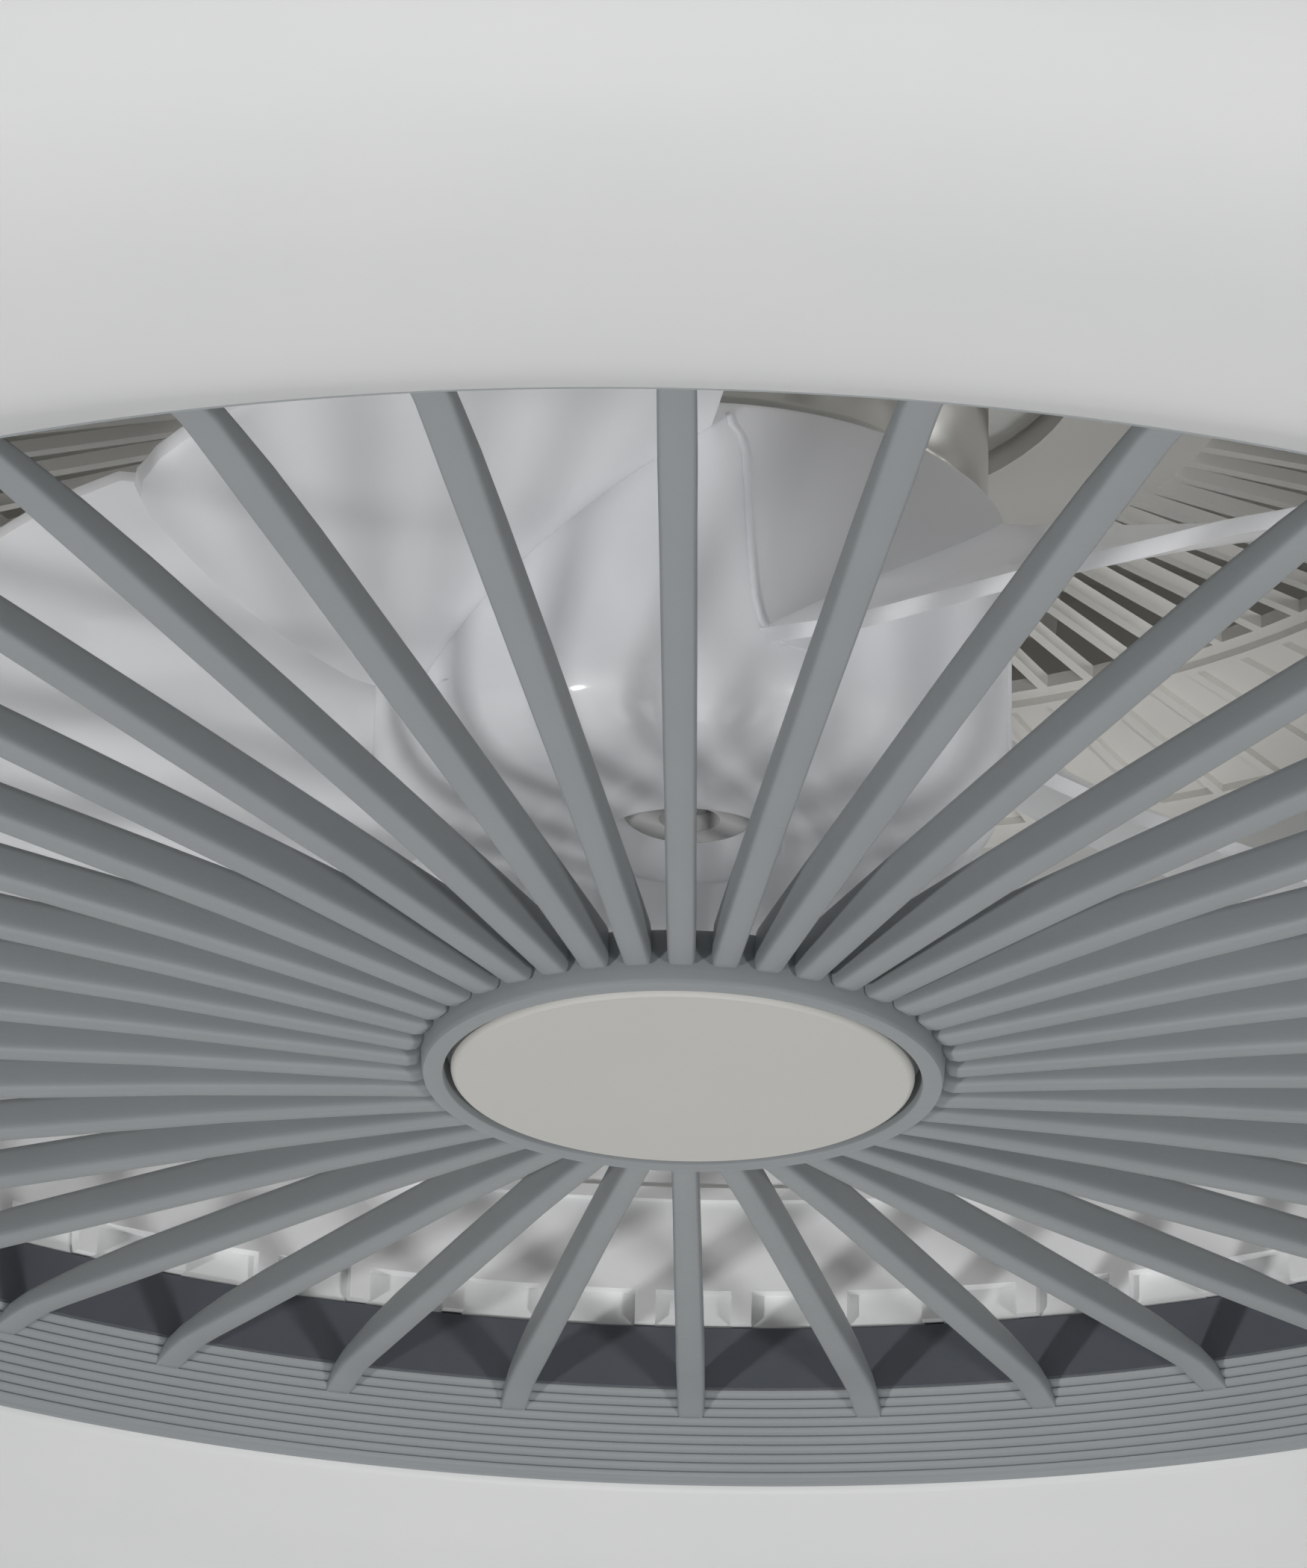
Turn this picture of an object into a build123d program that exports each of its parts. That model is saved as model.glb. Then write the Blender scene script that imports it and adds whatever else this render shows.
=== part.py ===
from build123d import *
from math import cos, hypot, radians, sin
import os

# Ceiling fan with a light ring, held flush against a ceiling. Millimetres, +Z up.
# The origin is the middle of the ceiling strap where it meets the ceiling.
# The near side is -Y, and azimuths run from -Y towards +X.

os.makedirs("parts", exist_ok=True)

# Clearances and angles used throughout
CLEAR = 0.3
SLIP = 0.05
TURN = 360.0

# Small screws
SCREW_R = 1.5
SCREW_HEAD_R = 3.0
SCREW_HEAD = 2.0
SCREW_TAIL = 2.0
PLATE_SCREW_GRIP = 8.0
PILOT_R = SCREW_R + SLIP

# Chassis pan
PAN_R = 190.0
PAN_DEPTH = 12.0
PAN_SHEET = 1.2
PAN_UNDER = -PAN_DEPTH - PAN_SHEET

# Ceiling strap and the screws at its two ends
STRAP_WIDTH = 30.0
STRAP_SHEET = 2.0
STRAP_LUG = 11.0
STRAP_HOLE_R = 8.0
SLOT_SPACING = 100.0
SLOT_LENGTH = 30.0
SLOT_R = 2.75
RIM_SCREW_R = 1.95
RIM_SCREW_Z = -6.5
RIM_SCREW_HEAD_R = 5.0
RIM_SCREW_HEAD = 4.0
RIM_SCREW_TAIL = 6.0
RIM_SCREW_EDGE = 0.7

# Slotted plate and lamp tray heights
PLATE_TOP = -63.0
PLATE_SHEET = 2.0
PLATE_BOTTOM = PLATE_TOP - PLATE_SHEET
TRAY_TOP = -110.8
TRAY_SHEET = 1.2
TRAY_UNDER = TRAY_TOP - TRAY_SHEET

# Louvre drum
DRUM_WALL = 2.5
LOUVRES = 72
LOUVRE_WIDTH = 9.0
LOUVRE_TOP = -32.0
LOUVRE_BOTTOM = -58.0
LOUVRE_ROUND = 3.0
FLANGE_SHEET = 2.0
FLANGE_SCREW_R = PAN_R - 8.0
FLANGE_INNER_R = FLANGE_SCREW_R - SCREW_HEAD_R - 1.0
FLANGE_SCREWS = 6

# Grommet, boxes and terminal block under the pan
GROMMET_Y = 85.0
GROMMET_HOLE_R = 7.0
GROMMET_BORE_R = 4.0
GROMMET_FLANGE_R = 9.5
GROMMET_LIP = 2.0
BOX_Y = 125.0
DRIVER_SIZE = (110.0, 40.0, 24.0)
CONTROL_SIZE = (90.0, 36.0, 22.0)
BLOCK_SIZE = (30.0, 16.0, 14.0)
BLOCK_X = -45.0
BOX_ROUND = 2.0
BLOCK_WAYS = 3
BLOCK_HOLE_R = 2.2
BLOCK_HOLE_DEPTH = 5.0

# Motor
MOTOR_R = 39.0
MOTOR_SHEET = 1.2
MOTOR_BOTTOM = -95.0
MOTOR_TOP = -42.0
MOTOR_ROUND = 5.0
MOTOR_FLANGE_BOTTOM = PLATE_TOP + 1.0
MOTOR_FLANGE_TOP = MOTOR_FLANGE_BOTTOM + MOTOR_SHEET
MOTOR_SCREWS = 4
MOTOR_SCREW_AT = 16.0
MOTOR_LEAD_Y = -25.0
BEARING_R = 11.0
BEARING_WIDTH = 7.0
BEARING_SEAT = 2.0
BEARING_WINDOW_R = 7.0
BEARING_RACE = 2.0
SHAFT_R = 4.0
SHAFT_TOP = MOTOR_TOP - 3.0
SHAFT_CHAMFER = 0.7
STATOR_BOTTOM = MOTOR_BOTTOM + 11.0
STATOR_HEIGHT = 24.0
STATOR_TOP = STATOR_BOTTOM + STATOR_HEIGHT
STATOR_R = MOTOR_R - MOTOR_SHEET - CLEAR
STATOR_YOKE = 6.0
POLES = 8
POLE_WIDTH = 7.0
SHOE_DEPTH = 2.0
SHOE_ANGLE = 34.0
ROTOR_R = 20.4
AIR_GAP = 0.6
COIL_SIDE = 3.0
COIL_OVERHANG = 3.0
COIL_GAP = 1.0
ROTOR_SLOTS = 16
ROTOR_SLOT_R = 1.2

# Hanger between pan and motor
HANGER_R = MOTOR_R + 6.0
HANGER_SHEET = 1.6
HANGER_SCREW_R = HANGER_R + 8.0
HANGER_TOP_R = HANGER_SCREW_R + 7.0
HANGER_HOLE_R = 4.5
LEAD_Z = -30.0
MOTOR_SCREW_R = HANGER_R + 2.0
MOTOR_FLANGE_R = MOTOR_SCREW_R + 4.0

# Slotted plate
PLATE_OPEN_R = MOTOR_FLANGE_R + 1.0
PLATE_R = PAN_R - DRUM_WALL - 1.5
PLATE_SLOTS = 96
SLOT_ROW = (73.5, 115.5)
CELL_ROW = (120.0, 160.0)
CELL_DEPTH = 1.2
RIB_WIDTH = 1.6
COLLAR_HEIGHT = 3.0
COLLAR_WALL = 2.0
STANDOFF_R = 4.0
STANDOFF_AT = PAN_R - 10.0
STANDOFFS = 4
NOTCH_R = 4.5

# Air duct
DUCT_R = 171.0
DUCT_WALL = 2.0
DUCT_BOTTOM = -143.7
DUCT_FLANGE_R = FLANGE_SCREW_R + SCREW_HEAD_R
BEAD_Z = -124.0
BEAD_HEIGHT = 2.0
BEAD_DEPTH = 1.5
POST_TOP = DUCT_BOTTOM + 5.2
POSTS = 72
POST_WIDTH = 3.2
RECESS_DEPTH = 2.4
SHELF_THICK = 1.5
BAYONETS = 4
HOOK_THICK = 1.8
LUG_ANGLE = 10.0
LUG_THICK = 1.8
GATE_ANGLE = 14.0
TWIST = 20.0

# Grille rim, from the duct outwards
WALL_R = DUCT_R + 1.5
WALL_THICK = 2.0
WALL_TOP = DUCT_BOTTOM - 0.2
WALL_BOTTOM = WALL_TOP - 10.2
SKIRT_R = WALL_R + WALL_THICK + 3.9
SKIRT_WALL = 1.8
SKIRT_BOTTOM = DUCT_BOTTOM - 6.5
LUG_TOP = DUCT_BOTTOM - 2.5
FLARE_R = WALL_R + 12.2
FLARE_Z = WALL_BOTTOM - 10.9
FLARE_BACK = 0.8
LIP_R = FLARE_R + 1.0
LIP_Z = FLARE_Z - 0.7
LIP_ROUND = 0.8
RIBS = 10
RIB_RISE_R = 0.35
RIB_RISE_Z = 0.35

# Grille bars
BARS = 40
BAR_ROOT_Z = -170.24
BAR_RISE = 0.0815
BAR_HEIGHT = 4.9
BAR_FOOT_R = WALL_R - 6.5
BAR_END_R = WALL_R + 5.5
BAR_FOOT_DROP = 2.2
BAR_ROOT_WIDTH = 3.5
BAR_TIP_WIDTH = 4.5
BAR_FLAT = 0.62
BAR_TOP = 0.8
BAR_SHOULDER = 1.3

# Grille hub and centre cap
HUB_FACE = -170.0
HUB_WALL = 2.9
CAP_R = 30.0
CAP_GAP = 0.9
HUB_R = CAP_R + CAP_GAP + HUB_WALL
HUB_EDGE_Z = HUB_FACE + 0.6
HUB_FLOOR_Z = HUB_FACE + 4.0
HUB_FLOOR = 2.0
HUB_SKIRT_R = HUB_R + 2.3
HUB_SKIRT_Z = HUB_FACE + 6.0
HUB_SKIRT_EDGE = 1.0
BAR_START_R = HUB_R - 0.8
CAP_FACE = 1.6
CAP_WALL = 1.4
CAP_EDGE = 0.6
CAP_LEGS = 3
CAP_LEG_R = 2.0
CAP_LEG_AT = 20.0
CAP_LEG_SNAP = 0.8

# Ring shade
SHADE_R = 300.0
SHADE_INNER_R = LIP_R + 0.4
SHADE_WALL = 2.5
SHADE_TOP = -107.5
SHADE_STRAIGHT_Z = -145.0
SHADE_LOW_Z = -184.5
SHADE_UPSTAND_TOP = -151.0
SHADE_EDGE_FALL = 0.51
# Steps in from the outer radius, and heights above the lowest line
SHADE_UNDERSIDE = (
    (94.0, 8.7),
    (85.5, 4.5),
    (74.0, 1.0),
    (60.0, 0.0),
    (44.0, 0.4),
    (27.0, 4.5),
    (13.0, 13.5),
    (4.0, 26.0),
)

# Lamp tray, light boards and the shade's bayonet
TRAY_INNER_R = DUCT_R + RECESS_DEPTH + DUCT_WALL + 1.1
TRAY_R = SHADE_R - 12.0
TRAY_EDGE = 6.0
TRAY_HOLE_R = 4.2
TRAY_HOLE_SHIFT = 1.5
TAB_R = SHADE_R - 5.0
TAB_ROOT = 2.0
TABS = 3
TAB_ANGLE = 12.0
SHADE_FLANGE_R = TRAY_R + 1.0
SHADE_GATE_ANGLE = 18.0
BOARD_R = (222.0, 256.0)
BOARD_SHEET = 1.6
BOARDS = 4
BOARD_ANGLE = 84.0
CHIP_INSET = 10.0
CHIPS_PER_ROW = 14
CHIP_SIDE = 5.0
CHIP_HEIGHT = 1.2
PLUG_SIZE = (8.0, 10.0, 5.0)
PLUG_AT = BOARD_R[0] + 4.0

# Impeller
CUP_R = MOTOR_R + 3.0
CUP_WALL = 2.0
CUP_TOP = MOTOR_BOTTOM + 2.4
CUP_HEIGHT = 44.4
CUP_BOTTOM = CUP_TOP - CUP_HEIGHT
CUP_ROUND = 11.0
BOSS_R = 9.0
BOSS_TOP = MOTOR_BOTTOM - 5.0
POCKET_ROOF = CUP_BOTTOM + 15.0
POCKET_R = 12.0
NUT_R = 9.0
NUT_BOTTOM = CUP_BOTTOM + 4.0
NUT_ROUND = 1.5
NUT_GRIPS = 12
NUT_GRIP_R = 1.2
NUT_GRIP_DEPTH = 0.6
NUT_COLLAR = 2.0
SHAFT_BOTTOM = NUT_BOTTOM + 2.0
PIN_R = 1.5
PIN_LENGTH = 17.0
PIN_Z = BOSS_TOP - PIN_R - SLIP
BLADES = 5
BLADE_THICK = 2.0
BLADE_START_R = CUP_R - CUP_WALL / 2
# Each row is a radius, then azimuth and height of the trailing and of the leading edge
BLADE_EDGES = (
    (36.0, -62.0, -126.0, 2.0, -95.5),
    (42.0, -58.0, -126.0, 3.0, -96.5),
    (55.0, -51.0, -129.5, 4.0, -97.5),
    (68.0, -46.0, -131.0, 4.0, -98.5),
    (80.0, -42.5, -132.0, 3.5, -99.5),
    (96.0, -38.5, -133.0, 3.0, -101.0),
    (110.0, -35.5, -133.5, 2.5, -103.0),
    (124.0, -32.0, -134.0, 2.0, -105.0),
)
BLADE_SPREAD = 0.094
BLADE_TIP = ((117.0, -31.5), (115.5, -24.0), (109.0, -15.0), (99.0, -6.5), (88.0, 0.0))
LEADING_ROWS = BLADE_EDGES[4:0:-1]
TRAILING_ROWS = BLADE_EDGES[1:-1]
CHORD_STEPS = 7

# Leads inside the housing
LEAD_R = 2.2
LEAD_BEND = 9.0
MAINS_X = -110.0
MAINS_BEND = 20.0
MAINS_Z = -22.0
LIGHT_LEAD_Z = -25.0
LIGHT_LEAD_AT = FLANGE_SCREW_R - 1.0


def save(name, shape):
    """Write one named piece."""
    export_step(shape, f"parts/{name}.step")


def turned(points):
    """Solid turned about Z from points of radius and height."""
    line = Polyline(*[(r, 0, z) for r, z in points], close=True)
    return revolve(make_face(line), Axis.Z)


def ring(inner, outer, low, high):
    """Flat ring between two radii and two heights."""
    return turned([(inner, low), (outer, low), (outer, high), (inner, high)])


def disc(radius, low, high):
    """Solid disc between two heights."""
    return pin(0, 0, low, high, radius)


def pin(x, y, low, high, radius):
    """Upright cylinder between two heights."""
    return Pos(x, y, (low + high) / 2) * Cylinder(radius, high - low)


def polar(radius, azimuth, height=0.0):
    """Point at an azimuth from -Y towards +X."""
    angle = radians(azimuth)
    return (radius * sin(angle), -radius * cos(angle), height)


def around(shape, count, start=0.0):
    """Copies of a shape turned about Z."""
    return [Rot(0, 0, start + TURN * i / count) * shape for i in range(count)]


def block(x, y, z, size):
    """Box with its top face centred on a point."""
    return Pos(x, y, z - size[2] / 2) * Box(*size)


def sector(inner, outer, low, high, middle, angle):
    """Part of a flat ring, centred on an angle from +X."""
    section = Plane.XZ * Pos((inner + outer) / 2, (low + high) / 2) * Rectangle(
        outer - inner, high - low
    )
    return Rot(0, 0, middle - angle / 2) * revolve(section, Axis.Z, angle)


def headed_screw(radius, head_r, head, length):
    """Pan-head screw pointing up from its head at zero height, with a cross recess."""
    shank = pin(0, 0, 0, length, radius)
    top = pin(0, 0, -head, 0, head_r)
    top = fillet(top.edges().sort_by(Axis.Z)[:1], head / 2)
    cross = Box(head_r, head / 3, head) + Box(head / 3, head_r, head)
    return shank + top - Pos(0, 0, -head) * cross


def small_screws(at, low, grip, count, start):
    """Ring of small screws with their heads at one height."""
    screw = headed_screw(SCREW_R, SCREW_HEAD_R, SCREW_HEAD, grip)
    return Compound(around(Pos(at, 0, low) * screw, count, start))


def ceiling_strap():
    """Steel strap with slots for the ceiling screws and a lug at each end."""
    room = PAN_R - PAN_SHEET - CLEAR
    reach = (room**2 - (STRAP_WIDTH / 2) ** 2) ** 0.5
    bar = block(0, 0, 0, (2 * reach, STRAP_WIDTH, STRAP_SHEET))
    lug = block(reach - STRAP_SHEET / 2, 0, 0, (STRAP_SHEET, STRAP_WIDTH, STRAP_LUG))
    slot = Pos(SLOT_SPACING / 2, 0, -STRAP_SHEET / 2) * extrude(
        SlotOverall(SLOT_LENGTH, 2 * SLOT_R), STRAP_SHEET, both=True
    )
    hole = disc(STRAP_HOLE_R, -STRAP_SHEET, 0)
    bore = Pos(reach, 0, RIM_SCREW_Z) * Rot(0, 90, 0) * Cylinder(
        RIM_SCREW_R + SLIP, 4 * STRAP_SHEET
    )
    return bar + around(lug, 2) - around(slot, 2) - around(bore, 2) - hole


def rim_screws():
    """Two thumb screws that hold the pan on the strap's lugs."""
    head = pin(0, 0, 0, RIM_SCREW_HEAD, RIM_SCREW_HEAD_R)
    head = chamfer(head.edges().sort_by(Axis.Z)[-1:], RIM_SCREW_EDGE)
    shank = pin(0, 0, -RIM_SCREW_TAIL - PAN_SHEET, 0, RIM_SCREW_R)
    screw = Pos(PAN_R, 0, RIM_SCREW_Z) * Rot(0, 90, 0) * (head + shank)
    return Compound(around(screw, 2))


def chassis_pan():
    """Pressed steel pan whose rim meets the ceiling."""
    pan = disc(PAN_R, PAN_UNDER, 0) - disc(PAN_R - PAN_SHEET, -PAN_DEPTH, 0)
    pan = fillet(pan.edges().filter_by(GeomType.CIRCLE).sort_by(Axis.Z)[:1], PAN_SHEET / 2)
    bore = Pos(PAN_R, 0, RIM_SCREW_Z) * Rot(0, 90, 0) * Cylinder(
        RIM_SCREW_R + CLEAR, 4 * PAN_SHEET
    )
    hanger_hole = pin(HANGER_SCREW_R, 0, PAN_UNDER, -PAN_DEPTH, PILOT_R)
    standoff_hole = pin(STANDOFF_AT, 0, PAN_UNDER, -PAN_DEPTH, PILOT_R)
    holes = around(bore, 2)
    holes += around(hanger_hole, MOTOR_SCREWS, TURN / 8)
    holes += around(standoff_hole, STANDOFFS, TURN / 8)
    holes.append(pin(0, GROMMET_Y, PAN_UNDER, -PAN_DEPTH, GROMMET_HOLE_R))
    return pan - holes


def cable_grommet():
    """Rubber grommet where the supply passes the pan."""
    low = PAN_UNDER - GROMMET_LIP
    high = -PAN_DEPTH + GROMMET_LIP
    groove = ring(
        GROMMET_HOLE_R - SLIP, GROMMET_FLANGE_R + CLEAR, PAN_UNDER - SLIP, SLIP - PAN_DEPTH
    )
    body = ring(GROMMET_BORE_R, GROMMET_FLANGE_R, low, high)
    return Pos(0, GROMMET_Y, 0) * (body - groove)


def sealed_box(x, y, size):
    """Closed moulded box under the pan with softened edges."""
    box = block(x, y, PAN_UNDER, size)
    return fillet(box.edges().filter_by(Axis.Z), BOX_ROUND)


def terminal_block():
    """Terminal block with its screw wells."""
    body = block(BLOCK_X, GROMMET_Y, PAN_UNDER, BLOCK_SIZE)
    pitch = BLOCK_SIZE[0] / BLOCK_WAYS
    bottom = PAN_UNDER - BLOCK_SIZE[2]
    for way in range(BLOCK_WAYS):
        x = BLOCK_X + (way - (BLOCK_WAYS - 1) / 2) * pitch
        body -= pin(x, GROMMET_Y, bottom, bottom + BLOCK_HOLE_DEPTH, BLOCK_HOLE_R)
    return body


def motor_hanger():
    """Pressed steel hanger that carries the motor below the pan."""
    low = MOTOR_FLANGE_TOP
    inner = HANGER_R - HANGER_SHEET
    tube = ring(inner, HANGER_R, low, PAN_UNDER)
    upper = ring(inner, HANGER_TOP_R, PAN_UNDER - HANGER_SHEET, PAN_UNDER)
    lower = ring(MOTOR_R + 2 * CLEAR, MOTOR_FLANGE_R, low, low + HANGER_SHEET)
    hole = pin(HANGER_SCREW_R, 0, PAN_UNDER - HANGER_SHEET, PAN_UNDER, PILOT_R)
    motor_hole = pin(MOTOR_SCREW_R, 0, low, low + HANGER_SHEET, PILOT_R)
    lead_hole = Pos(0, -HANGER_R, LEAD_Z) * Rot(90, 0, 0) * Cylinder(
        HANGER_HOLE_R, 4 * HANGER_SHEET
    )
    holes = around(hole, MOTOR_SCREWS, TURN / 8)
    holes += around(motor_hole, MOTOR_SCREWS, MOTOR_SCREW_AT)
    return tube + upper + lower - holes - lead_hole


def motor_can():
    """Chromed lower can with its mounting flange and bearing seat."""
    floor = MOTOR_BOTTOM + MOTOR_SHEET
    inner = MOTOR_R - MOTOR_SHEET
    outside = disc(MOTOR_R, MOTOR_BOTTOM, MOTOR_FLANGE_TOP)
    outside = fillet(outside.edges().sort_by(Axis.Z)[:1], MOTOR_ROUND)
    hollow = disc(inner, floor, MOTOR_FLANGE_TOP)
    hollow = fillet(hollow.edges().sort_by(Axis.Z)[:1], MOTOR_ROUND - MOTOR_SHEET)
    flange = ring(inner, MOTOR_FLANGE_R, MOTOR_FLANGE_BOTTOM, MOTOR_FLANGE_TOP)
    seat = ring(BEARING_R, BEARING_R + BEARING_SEAT, floor, floor + BEARING_WIDTH)
    window = disc(BEARING_WINDOW_R, MOTOR_BOTTOM, floor)
    hole = pin(MOTOR_SCREW_R, 0, MOTOR_FLANGE_BOTTOM, MOTOR_FLANGE_TOP, PILOT_R)
    return outside - hollow + flange + seat - window - around(hole, MOTOR_SCREWS, MOTOR_SCREW_AT)


def motor_cover():
    """Upper motor cover with the second bearing seat and a lead hole."""
    roof = MOTOR_TOP - MOTOR_SHEET
    cover = disc(MOTOR_R, MOTOR_FLANGE_TOP, MOTOR_TOP)
    cover = fillet(cover.edges().sort_by(Axis.Z)[-1:], MOTOR_ROUND)
    hollow = disc(MOTOR_R - MOTOR_SHEET, MOTOR_FLANGE_TOP, roof)
    hollow = fillet(hollow.edges().sort_by(Axis.Z)[-1:], MOTOR_ROUND - MOTOR_SHEET)
    seat = ring(BEARING_R, BEARING_R + BEARING_SEAT, roof - BEARING_WIDTH, roof)
    lead_hole = pin(0, MOTOR_LEAD_Y, roof, MOTOR_TOP, LEAD_R + CLEAR)
    return cover - hollow + seat - lead_hole


def bearing(low):
    """Ball bearing drawn as its outer ring, shields and inner ring in one."""
    body = ring(SHAFT_R + SLIP, BEARING_R, low, low + BEARING_WIDTH)
    groove = ring(SHAFT_R + BEARING_RACE, BEARING_R - BEARING_RACE, low - CLEAR, low + CLEAR)
    return body - groove - Pos(0, 0, BEARING_WIDTH) * groove


def stator_core():
    """Laminated stator with its poles."""
    bore = ROTOR_R + AIR_GAP
    core = ring(STATOR_R - STATOR_YOKE, STATOR_R, STATOR_BOTTOM, STATOR_TOP)
    length = STATOR_R - STATOR_YOKE / 2 - bore
    pole = Pos(bore + length / 2, 0, (STATOR_TOP + STATOR_BOTTOM) / 2) * Box(
        length, POLE_WIDTH, STATOR_HEIGHT
    )
    shoe = sector(bore, bore + SHOE_DEPTH, STATOR_BOTTOM, STATOR_TOP, 0, SHOE_ANGLE)
    for piece in around(pole, POLES) + around(shoe, POLES):
        core += piece
    return core - disc(bore, STATOR_BOTTOM, STATOR_TOP)


def stator_coils():
    """One wound coil round each stator pole."""
    inner = ROTOR_R + AIR_GAP + SHOE_DEPTH + CLEAR
    outer = STATOR_R - STATOR_YOKE - CLEAR - COIL_GAP
    height = STATOR_HEIGHT + 2 * COIL_OVERHANG
    coil = Box(outer - inner, POLE_WIDTH + 2 * COIL_SIDE, height)
    coil = fillet(coil.edges().filter_by(Axis.X), COIL_SIDE - CLEAR)
    window = Box(outer, POLE_WIDTH + 2 * SLIP, STATOR_HEIGHT + 2 * SLIP)
    coil = Pos((inner + outer) / 2, 0, (STATOR_TOP + STATOR_BOTTOM) / 2) * (coil - window)
    return Compound(around(coil, POLES))


def motor_shaft():
    """Steel shaft with a cross hole for the drive pin."""
    shaft = disc(SHAFT_R, SHAFT_BOTTOM, SHAFT_TOP)
    shaft = chamfer(shaft.edges().sort_by(Axis.Z)[:1], SHAFT_CHAMFER)
    hole = Pos(0, 0, PIN_Z) * Rot(0, 90, 0) * Cylinder(PIN_R + SLIP, 4 * SHAFT_R)
    return shaft - hole


def drive_pin():
    """Cross pin that turns the impeller with the shaft."""
    return Pos(0, 0, PIN_Z) * Rot(0, 90, 0) * Cylinder(PIN_R, PIN_LENGTH)


def rotor_core():
    """Rotor with the slots of its cast bars round the rim."""
    core = ring(SHAFT_R + SLIP, ROTOR_R, STATOR_BOTTOM, STATOR_TOP)
    slot = pin(ROTOR_R, 0, STATOR_BOTTOM, STATOR_TOP, ROTOR_SLOT_R)
    for tool in around(slot, ROTOR_SLOTS):
        core -= tool
    return core


def blade_point(row, share):
    """Point on one row of the blade table, past both edges by the spread."""
    radius, low_azimuth, low_z, high_azimuth, high_z = row
    part = share * (1 + 2 * BLADE_SPREAD) - BLADE_SPREAD
    azimuth = low_azimuth + part * (high_azimuth - low_azimuth)
    return polar(radius, azimuth, low_z + part * (high_z - low_z))


def blade():
    """One swept blade, cut from a thick curved sheet."""
    shares = [i / (CHORD_STEPS - 1) for i in range(CHORD_STEPS)]
    grid = [[Vector(*blade_point(row, share)) for share in shares] for row in BLADE_EDGES]
    sheet = Face.make_surface_from_array_of_points(grid)
    slab = Solid.thicken(sheet, BLADE_THICK / 2) + Solid.thicken(sheet, -BLADE_THICK / 2)
    trailing = [polar(row[0], row[1])[:2] for row in TRAILING_ROWS]
    tip = [polar(radius, azimuth)[:2] for radius, azimuth in BLADE_TIP]
    leading = [polar(row[0], row[3])[:2] for row in LEADING_ROWS]
    start = polar(BLADE_START_R, TRAILING_ROWS[0][1])[:2]
    end = polar(BLADE_START_R, LEADING_ROWS[-1][3])[:2]
    outline = Spline(*trailing, *tip, *leading)
    root = Polyline(leading[-1], end, start, trailing[0])
    face = make_face([outline.edge(), *root.edges()])
    return slab & (Pos(0, 0, CUP_BOTTOM) * extrude(face, CUP_HEIGHT))


def impeller():
    """Clear moulding with a cup over the motor, a boss and five blades."""
    outside = disc(CUP_R, CUP_BOTTOM, CUP_TOP)
    outside = fillet(outside.edges().sort_by(Axis.Z)[:1], CUP_ROUND)
    hollow = disc(CUP_R - CUP_WALL, CUP_BOTTOM + CUP_WALL, CUP_TOP)
    hollow = fillet(hollow.edges().sort_by(Axis.Z)[:1], CUP_ROUND - CUP_WALL)
    body = outside - hollow
    body += disc(POCKET_R + CUP_WALL, CUP_BOTTOM, POCKET_ROOF)
    body += disc(BOSS_R, POCKET_ROOF, BOSS_TOP)
    body -= disc(POCKET_R, CUP_BOTTOM, POCKET_ROOF - CUP_WALL)
    body -= disc(SHAFT_R + SLIP, CUP_BOTTOM, BOSS_TOP)
    pin_room = PIN_R + SLIP
    body -= block(0, 0, BOSS_TOP, (4 * BOSS_R, 2 * pin_room, 2 * pin_room))
    for wing in around(blade(), BLADES):
        body += wing
    return body


def impeller_nut():
    """Threaded knob under the impeller."""
    top = POCKET_ROOF - CUP_WALL
    nut = disc(NUT_R, NUT_BOTTOM, top)
    nut = fillet(nut.edges().sort_by(Axis.Z)[:1], NUT_ROUND)
    grip = pin(NUT_R + NUT_GRIP_DEPTH, 0, NUT_BOTTOM, top - NUT_COLLAR, NUT_GRIP_R)
    return nut - around(grip, NUT_GRIPS) - disc(SHAFT_R + SLIP, NUT_BOTTOM, top)


def slotted_plate():
    """White moulded plate with open slots inside and closed, ribbed cells outside."""
    plate = ring(PLATE_OPEN_R, PLATE_R, PLATE_BOTTOM, PLATE_TOP)
    plate += ring(PLATE_OPEN_R, PLATE_OPEN_R + COLLAR_WALL, PLATE_TOP, PLATE_TOP + COLLAR_HEIGHT)
    low = PLATE_BOTTOM - CELL_DEPTH
    inner, outer = CELL_ROW
    rib = Pos((inner + outer) / 2, 0, (low + PLATE_BOTTOM) / 2) * Box(
        outer - inner + RIB_WIDTH, RIB_WIDTH, CELL_DEPTH
    )
    plate += around(rib, PLATE_SLOTS)
    plate += ring(inner - RIB_WIDTH, inner, low, PLATE_BOTTOM)
    plate += ring(outer, outer + RIB_WIDTH, low, PLATE_BOTTOM)
    inner, outer = SLOT_ROW
    half = radians(TURN / PLATE_SLOTS / 2)
    narrow = inner * sin(half) - RIB_WIDTH / 2
    wide = outer * sin(half) - RIB_WIDTH / 2
    corners = [(inner, -narrow), (outer, -wide), (outer, wide), (inner, narrow)]
    slot = extrude(make_face(Polyline(*corners, close=True)), PLATE_SHEET)
    holes = around(Pos(0, 0, PLATE_BOTTOM) * slot, PLATE_SLOTS, TURN / PLATE_SLOTS / 2)
    hole = pin(STANDOFF_AT, 0, PLATE_BOTTOM, PLATE_TOP, PILOT_R)
    holes += around(hole, STANDOFFS, TURN / 8)
    holes.append(pin(0, LIGHT_LEAD_AT, PLATE_BOTTOM, PLATE_TOP, NOTCH_R))
    return plate - holes


def plate_standoffs():
    """Four tubes that hang the plate below the pan."""
    tube = ring(PILOT_R, STANDOFF_R, PLATE_TOP, PAN_UNDER)
    return Compound(around(Pos(STANDOFF_AT, 0, 0) * tube, STANDOFFS, TURN / 8))


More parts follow.
